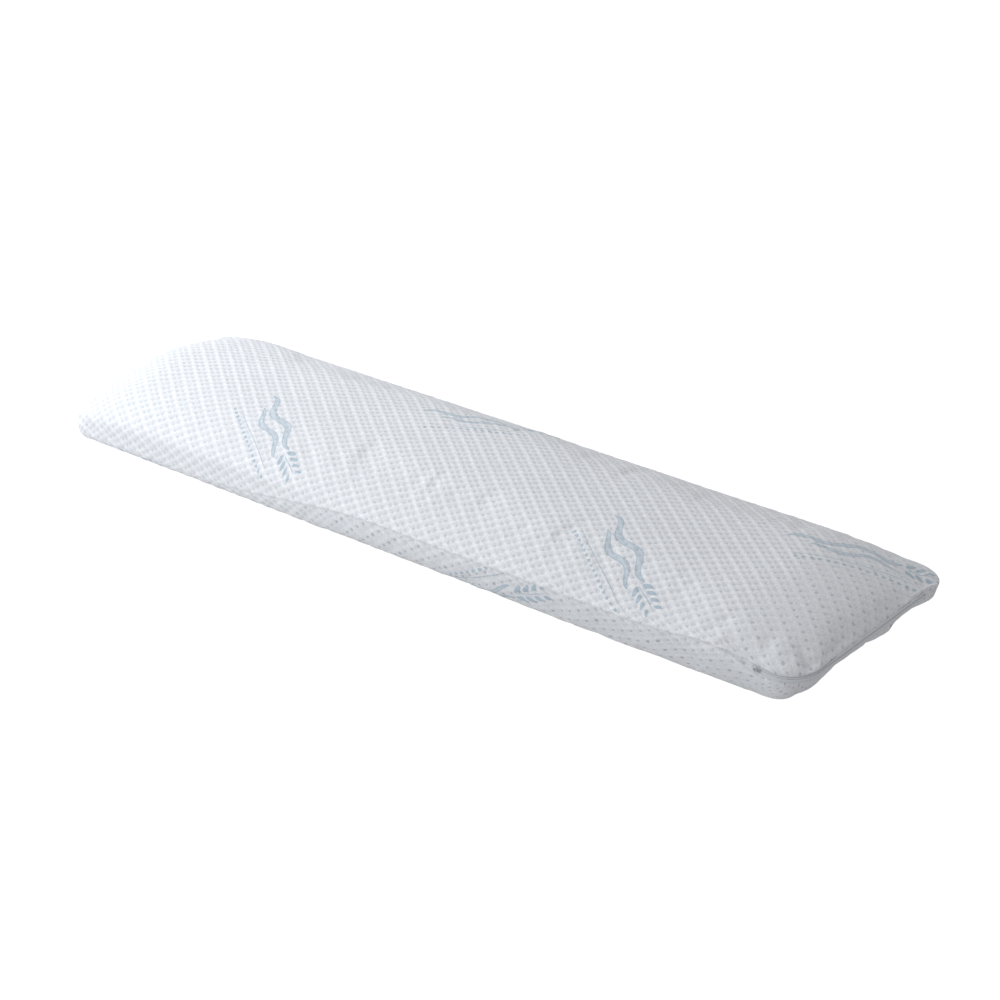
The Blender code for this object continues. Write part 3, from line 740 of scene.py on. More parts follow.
def raise_relief(cover, look):
    """Moves the fine mesh by the knit's relief, less by the seam, on the base and on the zip's slope."""
    mesh = cover.data
    places = coordinates(mesh)
    normals = read_values(mesh.vertex_normals, "vector", 3)
    share = smooth_steps(seam_distances(mesh), *SEAM_FADE) * smooth_steps(places[:, 2], *TABLE_FADE)
    share *= 1 - UNDERSIDE_LOSS * smooth_steps(-normals[:, 2], 0.0, 0.5)
    share *= 1 - SLOPE_LOSS * smooth_steps(places[:, 0], SLOPE_START, SLOPE_END)
    height = knit_height(cloth_places(mesh), look) - look.rib_height * RELIEF_MIDDLE
    set_coordinates(mesh, places + normals * (height * share)[:, None])


def knit_cover(look):
    cover = joined_cover()
    if look.ease > 0:
        settle_cloth(cover, look)
    finer = cover.modifiers.new("finer", "SUBSURF")
    finer.levels = finer.render_levels = 1
    finer.use_limit_surface = False
    apply_modifiers(cover)
    raise_relief(cover, look)
    cover.data.shade_smooth()
    return cover


# ---- shader trees ----
class Tree:
    """A shader tree being built: adds nodes, sets their inputs and links them."""

    def __init__(self, tree):
        self.tree = tree

    def feed(self, socket, value):
        if isinstance(value, bpy.types.NodeSocket):
            self.tree.links.new(value, socket)
        elif value is not None:
            socket.default_value = value

    def add(self, kind, *values, named=None, **settings):
        made = self.tree.nodes.new("ShaderNode" + kind)
        for name, value in settings.items():
            setattr(made, name, value)
        for socket, value in zip(made.inputs, values):
            self.feed(socket, value)
        for name, value in (named or {}).items():
            self.feed(made.inputs[name], value)
        return made

    def maths(self, operation, *values, clamp=False):
        return self.add("Math", *values, operation=operation, use_clamp=clamp).outputs[0]

    def plus(self, first, second):
        return self.maths("ADD", first, second)

    def minus(self, first, second):
        return self.maths("SUBTRACT", first, second)

    def times(self, first, second):
        return self.maths("MULTIPLY", first, second)

    def over(self, first, second):
        return self.maths("DIVIDE", first, second)

    def scaled(self, value, factor, offset):
        return self.maths("MULTIPLY_ADD", value, factor, offset)

    def size(self, value):
        return self.maths("ABSOLUTE", value)

    def turning(self, operation, turns):
        """The sine or cosine of a number of whole turns."""
        return self.maths(operation, self.times(turns, 2 * math.pi))

    def greatest(self, first, *others):
        for value in others:
            first = self.maths("MAXIMUM", first, value)
        return first

    def vectors(self, operation, *values, output=0):
        return self.add("VectorMath", *values, operation=operation).outputs[output]

    def stretch(self, vector, factor):
        return self.vectors("SCALE", vector, None, None, factor)

    def joined(self, x, y, z=0.0):
        return self.add("CombineXYZ", x, y, z).outputs[0]

    def parts(self, vector):
        return self.add("SeparateXYZ", vector).outputs

    def turned(self, vector, degrees):
        return self.add("VectorRotate", vector, rotation_type="Z_AXIS",
                        named={"Angle": math.radians(degrees)}).outputs[0]

    def noise(self, place, scale, detail, dimensions="3D"):
        return self.add("TexNoise", place, noise_dimensions=dimensions,
                        named={"Scale": scale, "Detail": detail}).outputs["Fac"]

    def ramp(self, value, low, high, to_low=0.0, to_high=1.0):
        """A soft step of value from low to high."""
        made = self.add("MapRange", value, low, high, to_low, to_high, interpolation_type="SMOOTHSTEP")
        return made.outputs[0]

    def fade(self, value, low, high):
        """The same the other way round, from 1 to 0."""
        return self.minus(1.0, self.ramp(value, low, high))

    def between(self, share, at_none, at_full):
        """A number that softly follows a share from 0 to 1."""
        return self.ramp(share, 0.0, 1.0, at_none, at_full)

    def mix(self, share, first, second):
        made = self.add("Mix", data_type="RGBA")
        for index, value in ((0, share), (6, first), (7, second)):
            self.feed(made.inputs[index], value)
        return made.outputs[2]

    def bump(self, height, strength=1.0, distance=1.0):
        made = self.add("Bump", named={"Strength": strength, "Distance": distance, "Height": height})
        return made.outputs[0]

    def group(self, name, **values):
        made = self.tree.nodes.new("ShaderNodeGroup")
        made.node_tree = bpy.data.node_groups[name]
        for label, value in values.items():
            self.feed(made.inputs[label.replace("_", " ")], value)
        return made.outputs


def new_group(name, place, numbers, outputs):
    """An empty node group. It takes a place and numbers with their defaults, and puts out numbers."""
    tree = bpy.data.node_groups.new(name, "ShaderNodeTree")
    tree.interface.new_socket(name=place, in_out="INPUT", socket_type="NodeSocketVector")
    for label, default in numbers.items():
        socket = tree.interface.new_socket(name=label, in_out="INPUT", socket_type="NodeSocketFloat")
        socket.default_value = default
    for label in outputs:
        tree.interface.new_socket(name=label, in_out="OUTPUT", socket_type="NodeSocketFloat")
    build = Tree(tree)
    return build, tree.nodes.new("NodeGroupInput").outputs, tree.nodes.new("NodeGroupOutput").inputs


def knit_lattice_group():
    """Masks and height of the jacquard's repeat: dots, softer recessed patches between them that carry
    painted shade, and ribs that carry a painted highlight as well as their relief.
    """
    build, given, out = new_group("knit lattice", "Cloth", {"Dot Radius": 0.0017, "Patch Radius": 0.0024},
                                  ("Dot", "Patch", "Rib", "Chance"))
    along = build.vectors("DOT_PRODUCT", given["Cloth"], (*ALONG_AXIS, 0), output=1)
    rows = build.vectors("DOT_PRODUCT", given["Cloth"], (*ROWS_AXIS, 0), output=1)

    def off(count, start=0.0):
        return build.minus(build.maths("FRACT", build.plus(count, 0.5 - start)), 0.5)

    rows_off = off(rows)

    def away(start):
        place = build.vectors("ADD", build.stretch(tuple(DOT_STEP), off(along, start)),
                              build.stretch(tuple(ROW_STEP), rows_off))
        return build.vectors("LENGTH", place, output=1)

    def chance(along_start, rows_start, seed):
        cell = [build.maths("FLOOR", build.plus(count, 0.5 - start))
                for count, start in ((along, along_start), (rows, rows_start))]
        return build.add("TexWhiteNoise", build.joined(*cell, seed), noise_dimensions="3D").outputs["Value"]

    def swell(count, middle, repeats, share):
        return build.times(build.turning("COSINE", build.times(build.minus(count, middle), repeats)), share)

    dot_chance = chance(0.0, 0.0, 0.0)
    dot_radius = build.times(given["Dot Radius"], build.scaled(dot_chance, 0.30, 0.85))
    rib_relief_and_highlight = build.plus(swell(along, RIB_AT, 1, RIB_SHARE), swell(along, SECOND_RIB_AT, 2, SECOND_RIB_SHARE))
    rib_relief_and_highlight = build.plus(build.plus(rib_relief_and_highlight, swell(rows, PUFF_AT, 1, PUFF_SHARE)), RIB_BASE)
    build.feed(out["Dot"], build.fade(build.over(away(0.0), dot_radius), 0.55, 1.45))
    build.feed(out["Patch"], build.fade(build.over(away(PATCH_AT), given["Patch Radius"]), 0.25, 1.6))
    build.feed(out["Rib"], build.times(rib_relief_and_highlight, build.scaled(chance(RIB_AT, PUFF_AT, 7.0), 0.4, 0.8)))
    build.feed(out["Chance"], dot_chance)


def fine_loops_group():
    """Height of fine knitted or woven loops, softly uneven, and a slow change of tone."""
    build, given, out = new_group("fine loops", "Position", {"Loop Width": 0.0009, "Loop Height": 0.0007,
                                                             "Unevenness": 0.35}, ("Height", "Tone"))
    parts = build.parts(given["Position"])
    across = build.over(parts[0], given["Loop Width"])
    lean = build.size(build.turning("SINE", build.times(across, 0.5)))
    along = build.plus(build.over(parts[1], given["Loop Height"]), build.times(lean, 0.55))
    loops = build.times(lean, build.scaled(build.turning("SINE", along), 0.5, 0.5))
    uneven = build.times(build.noise(given["Position"], 260.0, 2.0), given["Unevenness"])
    build.feed(out["Height"], build.plus(loops, uneven))
    build.feed(out["Tone"], build.noise(given["Position"], 14.0, 3.0))


def brush_wave_group():
    """One stroke of a brush along a gentle wave, thinning out at both ends."""
    build, given, out = new_group("brush wave", "Place", {
        "Middle": 0.0, "Half Length": 0.06, "Height": 0.0, "Swing": 0.006, "Wave Length": 0.05,
        "Half Width": 0.003}, ("Mask",))
    parts = build.parts(given["Place"])
    along = build.minus(parts[0], given["Middle"])
    wave = build.turning("SINE", build.over(along, given["Wave Length"]))
    off = build.size(build.minus(parts[1], build.scaled(wave, given["Swing"], given["Height"])))
    reach = build.maths("POWER", build.size(build.over(along, given["Half Length"])), 2.6)
    thin = build.maths("SUBTRACT", 1.0, reach, clamp=True)
    inside = build.minus(build.times(build.maths("SQRT", thin), given["Half Width"]), off)
    mask = build.times(build.ramp(inside, 0.0, 0.0008), build.maths("GREATER_THAN", thin, 0.0))
    build.feed(out["Mask"], build.times(mask, build.ramp(inside, 0.0012, 0.0030, 1.0, 0.62)))


def breeze_motif_group():
    """A breeze: two broad strokes over a fine line with a row of drops, and a leafy sprig at its end."""
    build, given, out = new_group("breeze motif", "Place", {}, ("Mask",))
    parts = build.parts(given["Place"])
    strokes = (                  # middle, half length, height, swing, wave length, half width
        (-0.014, 0.078, 0.028, 0.0070, 0.084, 0.0062),
        (0.002, 0.062, 0.006, 0.0060, 0.078, 0.0052),
        (0.006, 0.092, -0.019, 0.0012, 0.184, 0.0011),
        (0.088, 0.026, 0.017, 0.0010, 0.060, 0.0012),
    )

    def leaves(start, step, count, middle, beside, angle, length, breadth, shrink):
        along = build.minus(parts[0], start)
        number = build.maths("FLOOR", build.over(along, step))
        there = build.times(build.maths("GREATER_THAN", along, 0.0),
                            build.maths("LESS_THAN", along, step * count))
        off = build.size(build.minus(parts[1], middle))
        within = build.minus(build.scaled(number, -step, along), step / 2)
        leaf = build.turned(build.joined(within, build.minus(off, beside)), angle)
        leaf = build.vectors("MULTIPLY", leaf, (1 / length, 1 / breadth, 0.0))
        reach = build.over(build.vectors("LENGTH", leaf, output=1), build.scaled(number, -shrink, 1.0))
        return build.times(there, build.fade(reach, 0.86, 1.08))

    masks = [build.group("brush wave", Place=given["Place"], Middle=middle, Half_Length=half_length,
                         Height=height, Swing=swing, Wave_Length=wave_length, Half_Width=half_width)["Mask"]
             for middle, half_length, height, swing, wave_length, half_width in strokes]
    masks.append(leaves(0.066, 0.0135, 4, 0.017, 0.0088, -38, 0.0086, 0.0038, 0.10))
    masks.append(leaves(-0.080, 0.0105, 16, -0.0290, 0.0, 30, 0.0040, 0.0019, 0.0))
    build.feed(out["Mask"], build.greatest(*masks))


def breeze_print_group():
    """The printed pattern of the cover: two breezes for each repeat along the cloth."""
    build, given, out = new_group("breeze print", "Cloth", {"Repeat": 0.64}, ("Mask",))
    parts = build.parts(given["Cloth"])
    half = build.times(given["Repeat"], 0.5)
    masks = []
    for x, y, angle in ((0.335, -0.112, -36.0), (-0.055, 0.082, 30.0)):
        along = build.maths("WRAP", build.minus(parts[0], x), half, build.times(half, -1.0))
        place = build.turned(build.joined(along, build.minus(parts[1], y)), -angle)
        masks.append(build.group("breeze motif", Place=place)["Mask"])
    build.feed(out["Mask"], build.greatest(*masks))


def new_material(name, roughness, metallic=0.0, sheen=0.0, colour=(0.8, 0.8, 0.8)):
    """Makes a material with its constant finish on the shader's own sockets. Gives its tree and sockets."""
    made = bpy.data.materials.new(name)
    made.use_nodes = True
    shader = made.node_tree.nodes["Principled BSDF"].inputs
    for label, value in (("Base Color", (*colour, 1.0)), ("Roughness", roughness), ("Metallic", metallic),
                         ("Sheen Weight", sheen), ("Sheen Roughness", 0.6)):
        shader[label].default_value = value
    return Tree(made.node_tree), shader


def knit_material(look, art):
    """The knit: dots, painted shade in its patches and a painted highlight on its ribs, the last two weaker
    low on the sides and on the zip's slope, with the print over them.
    """
    build, shader = new_material("knit cover", 0.88, sheen=0.12)
    cloth = build.add("UVMap", uv_map="cloth_map").outputs[0]
    lattice = build.group("knit lattice", Cloth=cloth, Dot_Radius=look.dot_radius,
                          Patch_Radius=look.patch_radius)
    loops = build.group("fine loops", Position=cloth, Unevenness=0.5)
    print_mask = build.group("breeze print", Cloth=cloth, Repeat=art.repeat)["Mask"]
    place = build.parts(build.add("TexCoord").outputs["Object"])
    # These two masks set where the patches' painted shade and the ribs' painted highlight show: less low on
    # the sides and on the zip's slope. They also set the dots' strength.
    above_band_or_plain_end = build.greatest(build.ramp(place[2], *BAND_HEIGHTS), build.ramp(place[0], *PLAIN_HALF))
    on_zip_slope = build.ramp(place[0], SLOPE_START, SLOPE_END)
    # Painted shade in the patches and a painted highlight on the ribs; the same masks also give the bump
    # below.
    patch_dimple_and_shade = build.times(build.times(lattice["Patch"], build.between(above_band_or_plain_end, 0.3, 1.0)),
                        build.between(on_zip_slope, 1.0, 0.35))
    rib_relief_and_highlight = build.times(build.times(lattice["Rib"], build.between(above_band_or_plain_end, 0.4, 1.0)),
                      build.between(on_zip_slope, 1.0, 0.42))
    # The ribs' painted highlight and the patches' painted shade, mixed into the yarn's colour.
    colour = build.mix(build.times(rib_relief_and_highlight, look.rib_highlight_strength), (*look.colour, 1), (*look.rib_highlight_colour, 1))
    colour = build.mix(build.times(patch_dimple_and_shade, look.patch_shade_strength), colour, (*look.patch_shade_colour, 1))
    printed = build.times(print_mask, art.strength)
    colour = build.mix(printed, colour, (*art.colour, 1))
    dots = lattice["Dot"]
    for share in (build.scaled(lattice["Chance"], 0.3, 0.7),
                  build.between(above_band_or_plain_end, look.dot_strength * 1.8, look.dot_strength * 0.8),
                  build.between(build.times(on_zip_slope, above_band_or_plain_end), 1.0, 1.45),
                  build.scaled(printed, -0.7, 1.0)):
        dots = build.times(dots, share)
    colour = build.mix(dots, colour, (*look.dot_colour, 1))
    yarn = build.ramp(build.noise(cloth, 330.0, 2.0, "2D"), 0.28, 0.72, 0.91, 1.04)
    tone = build.times(build.ramp(loops["Tone"], 0.3, 0.7, 0.98, 1.0), yarn)
    build.feed(shader["Base Color"], build.stretch(colour, tone))
    height = build.times(rib_relief_and_highlight, RIB_BUMP)
    for value, share in ((lattice["Dot"], DOT_BUMP), (patch_dimple_and_shade, DOT_BUMP), (loops["Height"], LOOP_BUMP)):
        height = build.scaled(value, share, height)
    build.feed(shader["Normal"], build.bump(height))


def woven_material(name, colour, roughness, loop_width, loop_height):
    """Woven or wound thread, its colour a little darker where its loops are low, as painted shade. It reads
    the object's own place, so it runs along the seam and up it.
    """
    build, shader = new_material(name, roughness, sheen=0.08, colour=colour)
    parts = build.parts(build.add("TexCoord").outputs["Object"])
    place = build.joined(build.plus(parts[0], parts[1]), parts[2])
    loops = build.group("fine loops", Position=place, Loop_Width=loop_width, Loop_Height=loop_height)
    height = loops["Height"]
    # Painted shade: the colour is darker where the loops are low.
    build.feed(shader["Base Color"], build.stretch(tuple(colour), build.ramp(height, 0.1, 1.0, 0.90, 1.0)))
    build.feed(shader["Normal"], build.bump(build.times(height, 0.00010), 0.8))


def metal_material():
    """Nickel-plated metal with fine rubbed marks."""
    build, shader = new_material("zip metal", 0.3, metallic=1.0, colour=(0.62, 0.63, 0.65))
    marks = build.noise(build.add("TexCoord").outputs["Object"], 900.0, 4.0)
    build.feed(shader["Roughness"], build.ramp(marks, 0.3, 0.7, 0.22, 0.42))
    worn = build.ramp(marks, 0.35, 0.75)
    build.feed(shader["Base Color"], build.mix(worn, (0.66, 0.67, 0.69, 1), (0.52, 0.53, 0.55, 1)))
    build.feed(shader["Normal"], build.bump(marks, 0.3, 0.00003))


# ---- pieces along the seam ----
def seam_path(name, inset, start, length, step):
    """A curve along the seam from a rim position on, counter-clockwise, at an inset."""
    points, where, reached = [], start, 0.0
    while reached < length:
        point, _, out, _ = seam_frame(where)
        points.append(point - out * inset)
        where = rim_ahead(*where, step)
        reached += step
    curve = bpy.data.curves.new(name, "CURVE")
    curve.dimensions = "3D"
    spline = curve.splines.new("POLY")
    spline.points.add(len(points) - 1)
    for spot, point in zip(spline.points, points):
        spot.co = (*point, 1.0)
    return new_object(name, curve)


def laid_along(item, path, pitch):
    """Repeats a small modelled shape along a path and bends the row to it."""
    repeat = item.modifiers.new("repeat", "ARRAY")
    repeat.fit_type, repeat.curve = "FIT_CURVE", path
    repeat.use_relative_offset, repeat.use_constant_offset = False, True
    repeat.constant_offset_displace = (pitch, 0, 0)
    item.modifiers.new("bend", "CURVE").object = path
    apply_modifiers(item)
    bpy.data.objects.remove(path)
    return item


def choose(item, kind, test):
    """In edit mode, selects the faces or vertices that pass a test, and nothing else."""
    bpy.ops.mesh.select_mode(type="FACE" if kind == "polygons" else "VERT")
    bpy.ops.mesh.select_all(action="DESELECT")
    end_edit()
    for element in getattr(item.data, kind):
        element.select = test(element)
    bpy.ops.object.mode_set(mode="EDIT")


def seam_stitches():
    """Short leaning threads across the seam, all the way round it but for the zip. Their ends sink in."""
    middle = (0.0006, 0, 0)
    deselect_all()
    bpy.ops.mesh.primitive_cylinder_add(vertices=6, radius=THREAD_RADIUS, depth=STITCH_LENGTH,
                                        end_fill_type="NGON", location=middle)
    made = just_added("seam_stitches")
    edit_all()
    bpy.ops.mesh.bisect(plane_co=middle, plane_no=(0, 0, 1))
    choose(made, "vertices", lambda vert: abs(vert.co.z) > STITCH_LENGTH / 4)
    bpy.ops.transform.translate(value=(0, STITCH_SINK, 0))
    bpy.ops.mesh.select_all(action="SELECT")
    bpy.ops.transform.rotate(value=-STITCH_LEAN, orient_axis="Y", center_override=middle)
    end_edit()
    apply_transform()
    start = (1.0, (CHANNEL_END_Y + STITCH_START) / HALF_WIDTH)
    path = seam_path("stitch_line", STITCH_INSET, start, STITCHED_LENGTH, STITCH_LINE_STEP)
    return laid_along(made, path, STITCH_STEP)


def zip_teeth():
    """The coil of the zip: one bent tooth, repeated along a cord that fills the coil's place."""
    deselect_all()
    bpy.ops.mesh.primitive_torus_add(major_segments=14, minor_segments=6, major_radius=TOOTH_RADIUS,
                                     minor_radius=TOOTH_WIRE, location=(0.0003, 0, 0),
                                     rotation=(math.radians(90), 0, math.radians(78)))
    made = just_added("zip_teeth")
    apply_transform()
    edit_all()
    bpy.ops.transform.resize(value=(1, TOOTH_FLATNESS, 1), center_override=(0, 0, 0))
    end_edit()
    inset = CHANNEL_DEPTH - GAP - COIL_THICKNESS / 2
    path = seam_path("coil_line", inset, (ZIP_START_X / HALF_LENGTH, -1.0), COIL_LENGTH, COIL_LINE_STEP)
    return laid_along(made, path, TOOTH_STEP)


def slider_place():
    """The slider's place on the coil's front: X runs along the zip, Y up and Z out of the pillow."""
    point, along, out, up = seam_frame((SLIDER_AT_X / HALF_LENGTH, -1.0))
    turned = Matrix((along, up, out)).transposed().to_4x4()
    return Matrix.Translation(point - out * (CHANNEL_DEPTH - GAP - COIL_THICKNESS)) @ turned


def bail_arch():
    """The rounded arch that the ring hangs from, its feet in the slider's plate."""
    foot, top = GAP + SLIDER_PLATE / 2, GAP + SLIDER_PLATE + BAIL_ROOM + BAIL_WIRE
    deselect_all()
    bpy.ops.mesh.primitive_torus_add(major_segments=28, minor_segments=10, major_radius=BAIL_HALF_SPAN,
                                     minor_radius=BAIL_WIRE / 2, location=(0, 0, foot),
                                     rotation=(math.radians(90), 0, 0))
    arch = bpy.context.object
    apply_transform()
    edit_all()
    taller = (top - foot) / (BAIL_HALF_SPAN + BAIL_WIRE / 2)
    bpy.ops.transform.resize(value=(1, BAIL_BREADTH, taller), center_override=(0, 0, foot))
    bpy.ops.mesh.select_all(action="SELECT")
    bpy.ops.mesh.bisect(plane_co=(0, 0, foot), plane_no=(0, 0, 1), use_fill=True, clear_inner=True)
    end_edit()
    return arch


def slider_shape():
    """The slider: a rounded plate, narrower at its tail, a flange down each side and an arch on top."""
    flange = COIL_HALF_HEIGHT + GAP
    foot = TAPE_THICKNESS + GAP - COIL_THICKNESS
    deselect_all()
    bpy.ops.mesh.primitive_cube_add(size=1, location=(0, 0, GAP + SLIDER_PLATE / 2),
                                    scale=(SLIDER_LENGTH, SLIDER_HALF_HEIGHT * 2, SLIDER_PLATE))
    made = just_added("slider_body")
    apply_transform()
    bpy.ops.object.mode_set(mode="EDIT")
    for place, normal in (((0, flange, 0), (0, 1, 0)), ((0, -flange, 0), (0, 1, 0)),
                          ((0, 0, 0), (1, 0, 0))):
        bpy.ops.mesh.select_all(action="SELECT")
        bpy.ops.mesh.bisect(plane_co=place, plane_no=normal)
    choose(made, "polygons", lambda face: face.normal.z < -0.9 and abs(face.center.y) > flange)
    bpy.ops.mesh.extrude_region_move(TRANSFORM_OT_translate={"value": (0, 0, foot - GAP)})
    choose(made, "vertices", lambda vert: vert.co.x > 0.001 and abs(vert.co.y) > flange + NARROW_STEP)
    bpy.ops.transform.resize(value=(1, SLIDER_TAIL, 1), center_override=(0, 0, 0))
    end_edit()
    rounded = made.modifiers.new("rounded", "BEVEL")
    rounded.width, rounded.segments, rounded.limit_method = SLIDER_ROUNDING, 3, "ANGLE"
    apply_modifiers(made)
    arch = bail_arch()
    select_only(made)
    arch.select_set(True)
    bpy.ops.object.join()
    return made


def ring_shape():
    """The ring through the slider's arch, lying along the zip, with flattened faces."""
    middle, wire = (PULL_OUTER_RADIUS + PULL_HOLE_RADIUS) / 2, (PULL_OUTER_RADIUS - PULL_HOLE_RADIUS) / 2
    deselect_all()
    bpy.ops.mesh.primitive_torus_add(major_segments=48, minor_segments=12, major_radius=middle,
                                     minor_radius=wire,
                                     location=(-middle, 0, GAP * 2 + SLIDER_PLATE + PULL_THICKNESS / 2))
    made = just_added("zip_ring")
    edit_all()
    bpy.ops.transform.resize(value=(1, 1, PULL_THICKNESS / 2 / wire))
    end_edit()
    apply_transform()
    return made


# ---- what a user would change ----
COLOUR = {"subtype": "COLOR", "size": 3, "min": 0, "max": 1}
SHARE = {"subtype": "FACTOR", "min": 0, "max": 1}
SIZE = {"subtype": "DISTANCE", "unit": "LENGTH"}
POWER = {"subtype": "POWER", "unit": "POWER", "min": 0, "max": 2000}


class PillowKnitLook(bpy.types.PropertyGroup):
    """The knit of the cover."""
    # The yarn's colour, which shows between the ribs, under their painted highlight.
    colour: bpy.props.FloatVectorProperty(
        name="Yarn", description="Colour of the white yarn", default=(0.770, 0.790, 0.830), **COLOUR)
    # Painted highlight: the puffed ribs of the same white yarn painted lighter, as where light falls on them.
    rib_highlight_colour: bpy.props.FloatVectorProperty(
        name="Ribs", description="Colour of the puffed ribs", default=(0.90, 0.91, 0.935), **COLOUR)
    # How strongly the ribs' painted highlight shows.
    rib_highlight_strength: bpy.props.FloatProperty(
        name="Rib strength", description="How strongly the ribs' own colour shows", default=0.9, **SHARE)
    patch_shade_colour: bpy.props.FloatVectorProperty(
        # Painted shade: the soft patches are recesses of the white knit, painted darker as where shade falls
        # in them.
        name="Patches", description="Colour of the soft patches between the dots",
        default=(0.50, 0.53, 0.585), **COLOUR)
    dot_colour: bpy.props.FloatVectorProperty(
        name="Dots", description="Colour of the small dots", default=(0.30, 0.345, 0.44), **COLOUR)
    # How strongly the patches' painted shade shows.
    patch_shade_strength: bpy.props.FloatProperty(
        name="Patch strength", description="How strongly the patches show", default=0.36, **SHARE)
    dot_strength: bpy.props.FloatProperty(
        name="Dot strength", description="How strongly the dots show", default=0.38, **SHARE)
    dot_radius: bpy.props.FloatProperty(
        name="Dot radius", description="Radius of the small dots", default=0.0022, min=0.0005, max=0.004,
        **SIZE)
    # Also sets the size of the patches' painted shade, as well as their dimple in the bump.
    patch_radius: bpy.props.FloatProperty(
        name="Patch radius", description="Radius of the soft patches", default=0.0031, min=0.0005, max=0.006,
        **SIZE)
    rib_height: bpy.props.FloatProperty(
        name="Rib height", description="Height of the raised ribs", default=0.0008, min=0, max=0.003, **SIZE)
    dimple_depth: bpy.props.FloatProperty(
        name="Dimple depth", description="Depth of the dimples under the ribs", default=0.0007, min=0,
        max=0.003, **SIZE)
    dimple_radius: bpy.props.FloatProperty(
        name="Dimple radius", description="Radius of the soft dimples", default=0.0036, min=0.001, max=0.008,
        **SIZE)
    pressure: bpy.props.FloatProperty(
        name="Filling pressure", description="How hard the filling pushes out while the cloth settles",
        default=2.0, min=0, max=20)
    ease: bpy.props.FloatProperty(
        name="Ease", description="How much larger the cloth is than the filling", default=0.012, min=0,
        max=0.1, subtype="FACTOR")
    most_move: bpy.props.FloatProperty(
        name="Most move", description="The furthest that the cloth may settle", default=0.0030, min=0,
        max=0.02, **SIZE)


class PillowPrintLook(bpy.types.PropertyGroup):
    """The printed breeze pattern."""
    colour: bpy.props.FloatVectorProperty(
        name="Print", description="Colour of the print", default=(0.375, 0.50, 0.60), **COLOUR)
    strength: bpy.props.FloatProperty(
        name="Strength", description="How strongly the print covers the knit", default=0.75, **SHARE)
    repeat: bpy.props.FloatProperty(
        name="Repeat", description="Length after which the print repeats", default=0.64, min=0.2, max=2,
        **SIZE)


class PillowStageLook(bpy.types.PropertyGroup):
    """Floor, light and camera."""
    azimuth: bpy.props.FloatProperty(
        name="Azimuth", description="Direction the camera stands in, from the front",
        default=math.radians(41.86), subtype="ANGLE")
    elevation: bpy.props.FloatProperty(
        name="Elevation", description="Height of the camera above the horizon",
        default=math.radians(26.88), subtype="ANGLE")
    roll: bpy.props.FloatProperty(
        name="Roll", description="Turn of the camera about its line of sight",
        default=math.radians(-2.62), subtype="ANGLE")
    distance: bpy.props.FloatProperty(
        name="Distance", description="From the camera to the pillow's middle", default=3.656, min=0.5, max=20,
        **SIZE)
    lens: bpy.props.FloatProperty(
        name="Lens", description="Focal length in millimetres", default=92.86, min=10, max=300,
        subtype="DISTANCE_CAMERA")
    key_power: bpy.props.FloatProperty(
        name="Key light", description="Power of the soft light over the plain end", default=3.6, **POWER)
    side_power: bpy.props.FloatProperty(
        name="Side light", description="Power of the low soft light in front of the plain end", default=12.6,
        **POWER)
    front_power: bpy.props.FloatProperty(
        name="Front light", description="Power of the wide soft light in front", default=12.6, **POWER)
    top_power: bpy.props.FloatProperty(
        name="Top light", description="Power of the large soft light overhead", default=14.0, **POWER)
    cool_tint: bpy.props.FloatVectorProperty(
        name="Cool tint", description="Colour of the key light and the side light",
        default=(0.91, 0.955, 1.0), **COLOUR)
    world_strength: bpy.props.FloatProperty(
        name="Room light", description="Strength of the even light of the room", default=0.455, min=0, max=5)
    floor_glow: bpy.props.FloatProperty(
        name="Floor glow", description="How brightly the pale floor itself shows", default=1.0, min=0, max=5)


# ---- operators ----
class PILLOW_OT_materials(bpy.types.Operator):
    """Makes the shared patterns and the finishes"""
    bl_idname = "pillow.make_materials"
    bl_label = "Make Finishes"

    def execute(self, context):
        for make_group in (knit_lattice_group, fine_loops_group, brush_wave_group, breeze_motif_group,
                           breeze_print_group):
            make_group()
        knit_material(context.scene.pillow_knit, context.scene.pillow_print)
        woven_material("zip tape", (0.78, 0.80, 0.83), 0.85, 0.0011, 0.0007)
        woven_material("sewing thread", (0.80, 0.81, 0.83), 0.7, 0.0006, 0.0005)
        woven_material("zip coil", (0.74, 0.77, 0.81), 0.45, 0.0009, 0.0009)
        metal_material()
        return {"FINISHED"}


class PILLOW_OT_cover(bpy.types.Operator):
    """Makes the padded knit cover in the place of the solid pillow"""
    bl_idname = "pillow.make_cover"
    bl_label = "Make Cover"

    def execute(self, context):
        cover = knit_cover(context.scene.pillow_knit)
        dressed(cover, bpy.data.materials["knit cover"])
        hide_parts("pillow_body")
        return {"FINISHED"}


class PILLOW_OT_seam(bpy.types.Operator):
    """Sews the seam with short threads"""
    bl_idname = "pillow.make_seam"
    bl_label = "Make Seam"

    def execute(self, context):
        stitches = seam_stitches()
        stitches.data.shade_smooth()
        dressed(stitches, bpy.data.materials["sewing thread"])
        return {"FINISHED"}


class PILLOW_OT_zip(bpy.types.Operator):
    """Makes the teeth of the zip and finishes its tapes, slider and ring"""
    bl_idname = "pillow.make_zip"
    bl_label = "Make Zip"

    def execute(self, context):
        teeth = zip_teeth()
        teeth.data.shade_smooth()
        dressed(teeth, bpy.data.materials["zip coil"])
        for piece, node in ((slider_shape(), "zip_slider"), (ring_shape(), "zip_pull")):
            piece.matrix_world = slider_place()
            select_only(piece)
            apply_transform()
            piece.data.shade_smooth()
            dressed(piece, bpy.data.materials["zip metal"])
            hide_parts(node)
        finishes = {"zip_tape_upper": "zip tape", "zip_tape_lower": "zip tape", "zip_coil": "zip coil"}
        for node, finish in finishes.items():
            FRAME["nodes"][node].material_slots[0].material = bpy.data.materials[finish]
        return {"FINISHED"}


